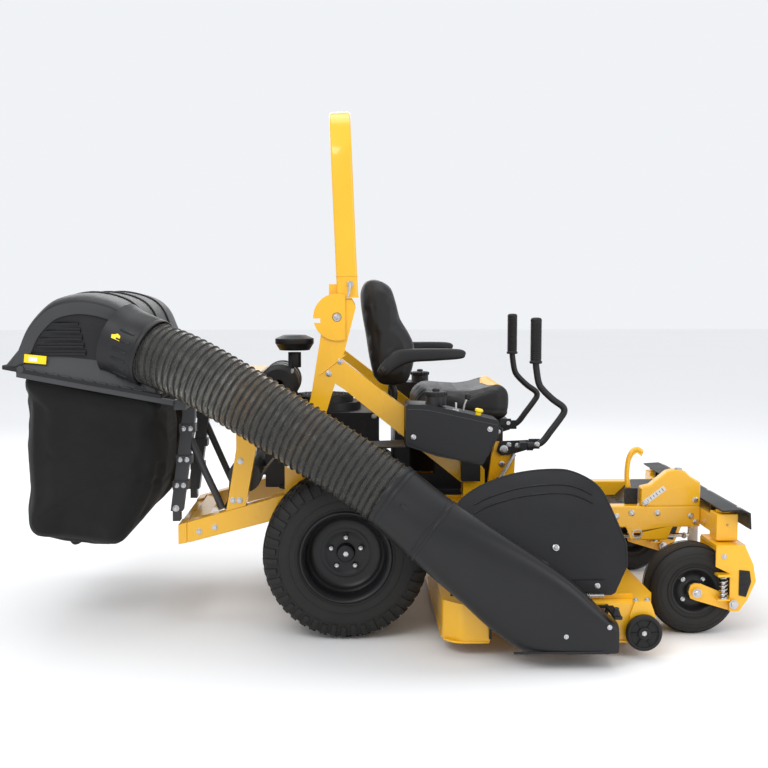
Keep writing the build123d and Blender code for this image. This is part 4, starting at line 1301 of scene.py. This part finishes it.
# engine: screen, shroud louvres, plugs and leads, oil filter; air cleaner bands
bag = Bag()
for k in range(7):
    prism(bag, (-90, 0, 845), (0, 0, 1), [(0, 112 - k * 14), (2.5 + k * 0.2, 112 - k * 14),
                                          (2.5 + k * 0.2, 108 - k * 14), (0, 107 - k * 14)], 48, 0, cap=False)
for k in range(16):
    t = 2 * math.pi * k / 16
    tube(bag, [(-90 + 22 * math.cos(t), 22 * math.sin(t), 847), (-90 + 112 * math.cos(t), 112 * math.sin(t),
            847)], 1.8, 6, 0, per=1)
for s in (-1, 1):
    for k in range(9):
        block(bag, -280 + k * 42, -256 + k * 42, s * 190, s * 194, 670, 760, 0)
    bolt(bag, (-290, s * 190, 775), (0, s, 0), 7, 5, 1)
    bolt(bag, (110, s * 190, 775), (0, s, 0), 7, 5, 1)
    # spark plug and lead
    prism(bag, (-150, s * 243, 600), (0, s, 0.2), [(0, 10), (16, 10), (18, 7), (30, 6)], 12, 1)
    tube(bag, [(-150, s * 272, 606), (-170, s * 290, 640), (-210, s * 270, 700), (-240, s * 195, 730)], 4, 10,
         2)
prism(bag, (60, -150, 560), (0, -1, 0), [(0, 38), (70, 38), (76, 34), (78, 20)], 32, 0)
for y in (-176, -130, -40, 60, 105):
    prism(bag, (-262, y, 900), (0, 1, 0), [(-4, 75), (-3, 77.5), (3, 77.5), (4, 75)], 48, 0, cap=False)
for s in (-1, 1):
    prism(bag, (-262, (-180 if s < 0 else 120), 900), (0, s, 0), [(0, 74), (3, 72), (8, 60), (9, 20)], 48, 0)
# over-centre clips on the canister
for t in (-0.6, 0.8):
    block(bag, -262 + 74 * math.cos(t) - 3, -262 + 74 * math.cos(t) + 6, -186, -150,
          900 + 74 * math.sin(t) - 8, 900 + 74 * math.sin(t) + 8, 1)
# intake elbow and exhaust stub
tube(bag, [(-262, 110, 900), (-262, 150, 880), (-230, 165, 830), (-200, 160, 795)], 26, 20, 2)
tube(bag, [(-320, 75, 545), (-345, 75, 545)], 18, 16, 3, per=2)
bag.make("engine_trim", [PLAS, STEEL, RUB, DARKS], "chassis", bevel=0.8, slot="black_plastic")
bag = Bag()
for k in range(19):
    y = -200 + k * 22
    prism(bag, (-395, y, 545), (0, 1, 0), [(-2, 61.5), (-1, 64.5), (5, 64.5), (6, 61.5)], 40, 0, cap=False)
tube(bag, [(-440, -150, 540), (-445, -150, 470), (-452, -152, 430), (-470, -160, 400)], 20.5, 20, 1)
bag.make("muffler_guard", [GREYP, DARKS], "chassis", slot="grey_paint")

# short fluid lines, the same on both sides
bag = Bag()
for s in (-1, 1):
    tube(bag, [(70, s * 215, 440), (60, s * 225, 520), (10, s * 235, 560), (-60, s * 232, 600),
               (-120, s * 238, 650)], 9, 12, 0)
    tube(bag, [(-40, s * 200, 399), (-60, s * 215, 460), (-150, s * 205, 478), (-260, s * 180, 500)], 9, 12,
         0)
    tube(bag, [(600, s * 250, 500), (640, s * 246, 470), (760, s * 250, 452), (900, s * 250, 450)], 6, 10, 0)
bag.make("fluid_lines", RUB, "chassis", slot="rubber")

# side pods: parting seam, recess line, filler caps with their grips, bolts
bag = Bag()
for s in (-1, 1):
    y = s * 560
    pts = [(222, y, 842), (300, y, 838), (420, y, 812), (548, y, 784)]
    tube(bag, [(a, b - s * 0.5, z) for a, b, z in pts], 1.8, 8, 1, per=6)
    tube(bag, [(226, y, 722), (330, y, 684), (488, y, 654), (538, y, 738)], 2.2, 8, 0, per=6)
    prism(bag, (330, s * 490, 884), (0, 0, 1), [(0, 39), (4, 40), (14, 40), (17, 36), (18, 14), (26, 13),
                                                (28, 8)], 36, 0)
    for k in range(18):
        t = 2 * math.pi * k / 18
        prism(bag, (330 + 40 * math.cos(t), s * 490 + 40 * math.sin(t), 887), (0, 0, 1),
              [(0, 2.6), (12, 2.6)], 8, 0)
    for x, z in ((244, 742), (520, 770)):
        bolt(bag, (x, y, z), (0, s, 0), 7, 4, 2)
# controls on the right pod: throttle lever, blade switch, key
tube(bag, [(430, -470, 820), (436, -470, 850), (446, -470, 872)], 4, 12, 2)
prism(bag, (446, -470, 868), (0.3, 0, 1), [(0, 7), (4, 11), (16, 12), (22, 8)], 20, 0)
prism(bag, (480, -520, 812), (0.2, 0, 1), [(0, 18), (3, 18), (4, 10), (16, 10), (18, 15), (26, 15), (29, 10)],
      28, 3)
prism(bag, (400, -520, 832), (0.2, 0, 1), [(0, 14), (4, 13), (5, 9), (8, 9)], 24, 2)
block(bag, 397, 403, -530, -510, 838, 862, 2)
bag.make("console_parts", [PLAS, PLASG, STEEL, LABY], "chassis", bevel=0.8, slot="black_plastic")

# platform: raised tread pattern, height decal on the dial housing, guard bolts, pedal
bag = Bag()
for i in range(12):
    for j in range(11):
        a = 1 if (i + j) % 2 else -1
        d = Vector((1, a, 0)).normalized() * 15
        w = Vector((-a, 1, 0)).normalized() * 2.6
        c = Vector((665 + i * 44, -230 + j * 46, 378))
        foot = [tuple(v) for v in (c - d, c + w, c + d, c - w)]
        head = [tuple(v + Vector((0, 0, 1.6))) for v in (c - d * 0.8, c + w * 0.6, c + d * 0.8, c - w * 0.6)]
        bag.add(foot + head, SLAB[1:], 0)
bag.make("platform_tread", BLKP, "chassis", slot="black_paint", smooth=False)
bag = Bag()
LU, LN = Vector((0.8, 0, 0.6)), (0, -1, 0)
LC = Vector((1190, -315.1, 482))
plate(bag, LC, LU, (-0.6, 0, 0.8), LN, 92, 20, 0.6, 0)
for k in range(6):
    plate(bag, LC + LU * (k * 14 - 35) + Vector((0, -0.6, 0)), LU, (-0.6, 0, 0.8), LN, 2.4,
          13 if k % 2 else 9, 0.3, 1)
bag.make("height_index", [LABW, BLKP], "chassis", slot="yellow_paint", smooth=False)
bag = Bag()
for x, z in ((1152, 452), (1346, 462)):
    bolt(bag, (x, -315, z), (0, -1, 0), 8, 6)
for y in (-500, -150, 150, 500):
    prism(bag, (1452, y, 467), (0.37, 0, 0.93), [(-3, 11), (2, 11), (4, 9)], 24)
# dial knob spindle and cap on the housing top
prism(bag, (1284, -292, 577), (0, 0, 1), [(0, 15), (5, 15), (6, 12)], 24)
bag.make("guard_bolts", STEEL, "chassis", slot="steel")
bag = Bag()
for z in (404, 418, 432):
    tube(bag, [(1479.6, -545, z), (1479.2, 0, z), (1479.6, 545, z)], 1.6, 8, 0, per=2)
prism(bag, (1110, -252, 470), (0, 1, 0), [(-17, 14), (-16, 15), (0, 15)], 24)
bag.make("guard_ribs", PLAS, "chassis", bevel=0.5, slot="black_plastic")
bag = Bag()
tube(bag, [(1104, -240, 482), (1097, -240, 545), (1102, -240, 606), (1116, -240, 640), (1136, -240, 649),
           (1155, -240, 638)], 9.5, 14, 0, per=6)
prism(bag, (1110, -229, 470), (0, 1, 0), [(0, 14), (4, 14)], 20, 1)
bag.make("pedal_bar", [YEL, STEEL], "lift_pedal", bevel=1.0, slot="yellow_paint")

# deck: edge roll, deck bolts, side strips, anti-scalp wheel bolts, cover screws
bag = Bag()
for s in (-1, 1):
    pts = [(345, s * 718, 51), (372, s * 748, 51), (410, s * 761, 51)] + ([(496, -761,
            51)] if s < 0 else [(1000, 761, 51), (1050, 700, 51), (1092, 645, 51)])
    tube(bag, pts, 5, 8, 0, per=5)
tube(bag, [(909, -761, 51), (1000, -761, 51), (1052, -700, 51), (1092, -645, 51)], 5, 8, 0, per=5)
tube(bag, [(1095, -640, 51), (1095, 0, 51), (1095, 640, 51)], 5, 8, 0, per=4)
tube(bag, [(340, -690, 51), (340, 0, 51), (340, 690, 51)], 5, 8, 0, per=4)
for x, y in ((690, 0), (1010, -420), (1010, 420), (430, -300), (430, 300)):
    bolt(bag, (x, y, 186), (0, 0, 1), 8, 6, 1)
for s in (-1, 1):
    block(bag, 420, 1010, s * 700, s * 706, 186, 204, 0)
    for x in (1010, 1050):
        bolt(bag, (x, s * 750, 192), (0, 0, 1), 8, 6, 1)
    bolt(bag, (1031, s * 790, 88), (0, s, 0), 11, 8, 1)
    for x, y in ((580, 395), (580, 605), (800, 395), (800, 605), (960, 470), (960, 400)):
        prism(bag, (x, s * y, 258), (0, 0, 1), [(0, 11), (3, 11), (5, 7)], 20, 2)
# front hanger brackets
for y in (-152, 152):
    block(bag, 960, 1090, y - 30, y + 30, 186, 192, 0)
    bolt(bag, (1065, y - 10, 192), (0, 0, 1), 8, 6, 1)
bag.make("deck_trim", [YEL, STEEL, PLAS], "deck", bevel=0.8, slot="yellow_paint")
for side, s in SIDES:
    bag = Bag()
    c = (1031, s * 788, 88)
    prof = [(10, 13.8), (22, 13.8), (24, 8), (46, 7), (50, 13), (58, 13.8), (62.2, 10), (63.2, 4), (63.2, -4),
            (62.2, -10), (58, -13.8),
            (50, -13), (46, -7), (24, -8), (22, -13.8), (10, -13.8)]
    lathe(bag, smooth_line(prof, 2, closed=True), c, 64, 0, s)
    for k in range(6):
        t = math.pi / 3 * k
        p0 = (c[0] + 24 * math.cos(t), c[1] + s * 9.5, c[2] + 24 * math.sin(t))
        p1 = (c[0] + 48 * math.cos(t), c[1] + s * 9.5, c[2] + 48 * math.sin(t))
        tube(bag, [p0, p1], 3.2, 8, 0, per=1)
    o = bag.make("gauge_wheel_" + side, [RUB], "anti_scalp_" + side, slot="black_plastic", angle=45)
    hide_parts("anti_scalp_wheel_" + side)

# bagger frame: clamps, hinge bolts, braces to the chassis
bag = Bag()
for s in (-1, 1):
    for z, x in ((520, -636), (620, -622), (740, -607)):
        block(bag, x - 30, x + 30, s * 209, s * 271, z - 16, z + 16, 0)
        bolt(bag, (x + 12, s * 271, z), (0, s, 0), 7, 6, 1)
        bolt(bag, (x - 14, s * 271, z), (0, s, 0), 7, 6, 1)
    bolt(bag, (-634, s * 298, 892), (0, s, 0), 9, 7, 1)
    tube(bag, [(-600, s * 240, 700), (-540, s * 240, 560), (-500, s * 236, 470), (-480, s * 250, 425)], 14,
         14, 0, per=3)
    bolt(bag, (-655, s * 265, 430), (0, s, 0), 9, 7, 1)
bag.make("bagger_clamps", [GREYP, STEEL], "chassis", bevel=1.2, slot="grey_paint")

# seat box: vent slots and bolts
bag = Bag()
for s in (-1, 1):
    for k in range(6):
        block(bag, 380 + k * 34, 400 + k * 34, s * 245, s * 247, 560, 680, 0)
    bolt(bag, (210, s * 245, 720), (0, s, 0), 7, 5, 1)
    bolt(bag, (590, s * 245, 720), (0, s, 0), 7, 5, 1)
bag.make("seat_box_trim", [PLAS, STEEL], "chassis", slot="black_paint")

# ---------------------------------------------------------------- remaining CAD nodes keep their shape, finished here
SHOWN_BEVEL = {"deck_shell": 3.0, "front_axle": 4.0, "frame_rail_right": 5.0, "frame_rail_left": 5.0,
               "rops_base": 2.5,
               "rear_guard": 6.0, "dial_housing": 6.0, "front_guard": 1.0, "side_pod_right": 6.0, "side_pod_left": 6.0,
               "seat_box": 6.0, "engine_shroud": 10.0, "belt_covers": 6.0, "air_cleaner": 3.0, "bagger_frame": 4.0,
               "rear_fenders": 2.0, "caster_fork_right": 2.5, "caster_fork_left": 2.5, "engine_block": 1.2,
               "transaxles": 8.0, "muffler": 3.0, "blade_right": 0, "blade_centre": 0, "blade_left": 0}
for n in NODES:
    if not NODES[n].hide_render:
        finish_node(n, bevel=SHOWN_BEVEL.get(n, 1.5))

# ---------------------------------------------------------------- stage, light and camera
fl = bpy.data.meshes.new("floor")
HALF_FLOOR = 30
fl.from_pydata([(x * HALF_FLOOR, y * HALF_FLOOR, 0) for x, y in ((-1, -1), (1, -1), (1, 1), (-1, 1))], [],
               [(0, 1, 2, 3)])
floor = bpy.data.objects.new("floor", fl)
bpy.context.scene.collection.objects.link(floor)
fl.materials.append(plain("floor_paint", (0.93, 0.93, 0.93), 0.85, grain=40, bump=0.02, var=0.01, blotch=0.3))

w = bpy.data.worlds.new("w")
bpy.context.scene.world = w
w.use_nodes = True
w.node_tree.nodes["Background"].inputs["Color"].default_value = (0.95, 0.97, 1.0, 1)
w.node_tree.nodes["Background"].inputs["Strength"].default_value = 0.92


def area(name, loc, target, size, power, col=(1, 1, 1)):
    li = bpy.data.lights.new(name, "AREA")
    li.shape, li.size, li.size_y = "RECTANGLE", size[0], size[1]
    li.energy, li.color = power, col
    o = bpy.data.objects.new(name, li)
    bpy.context.scene.collection.objects.link(o)
    o.location = loc
    o.rotation_euler = (Vector(target) - Vector(loc)).to_track_quat("-Z", "Y").to_euler()


area("key", (-2.2, -4.2, 4.6), (0, 0, 0.7), (3.2, 2.2), 110)
area("fill", (4.2, -3.4, 2.4), (0.3, 0, 0.7), (2.6, 2.6), 38)
area("top", (0.0, 0.6, 5.2), (0, 0, 0.8), (4.5, 3.0), 80)
area("back", (-1.0, 4.8, 3.4), (0, 0, 0.9), (4.0, 2.0), 55)

IMAGE_PX, FOCAL_PX, SENSOR = 768, 1128, 36.0
CAM_AT, CAM_PITCH, CAM_YAW = (25, -4575, 1277), -4.88, -1.62
cam = bpy.data.cameras.new("cam")
cam.sensor_width, cam.lens = SENSOR, SENSOR * FOCAL_PX / IMAGE_PX
co = bpy.data.objects.new("cam", cam)
bpy.context.scene.collection.objects.link(co)
co.location = V(*CAM_AT)
co.rotation_euler = (math.radians(90 + CAM_PITCH), 0, math.radians(CAM_YAW))
bpy.context.scene.camera = co
bpy.context.scene.view_settings.view_transform = "Standard"
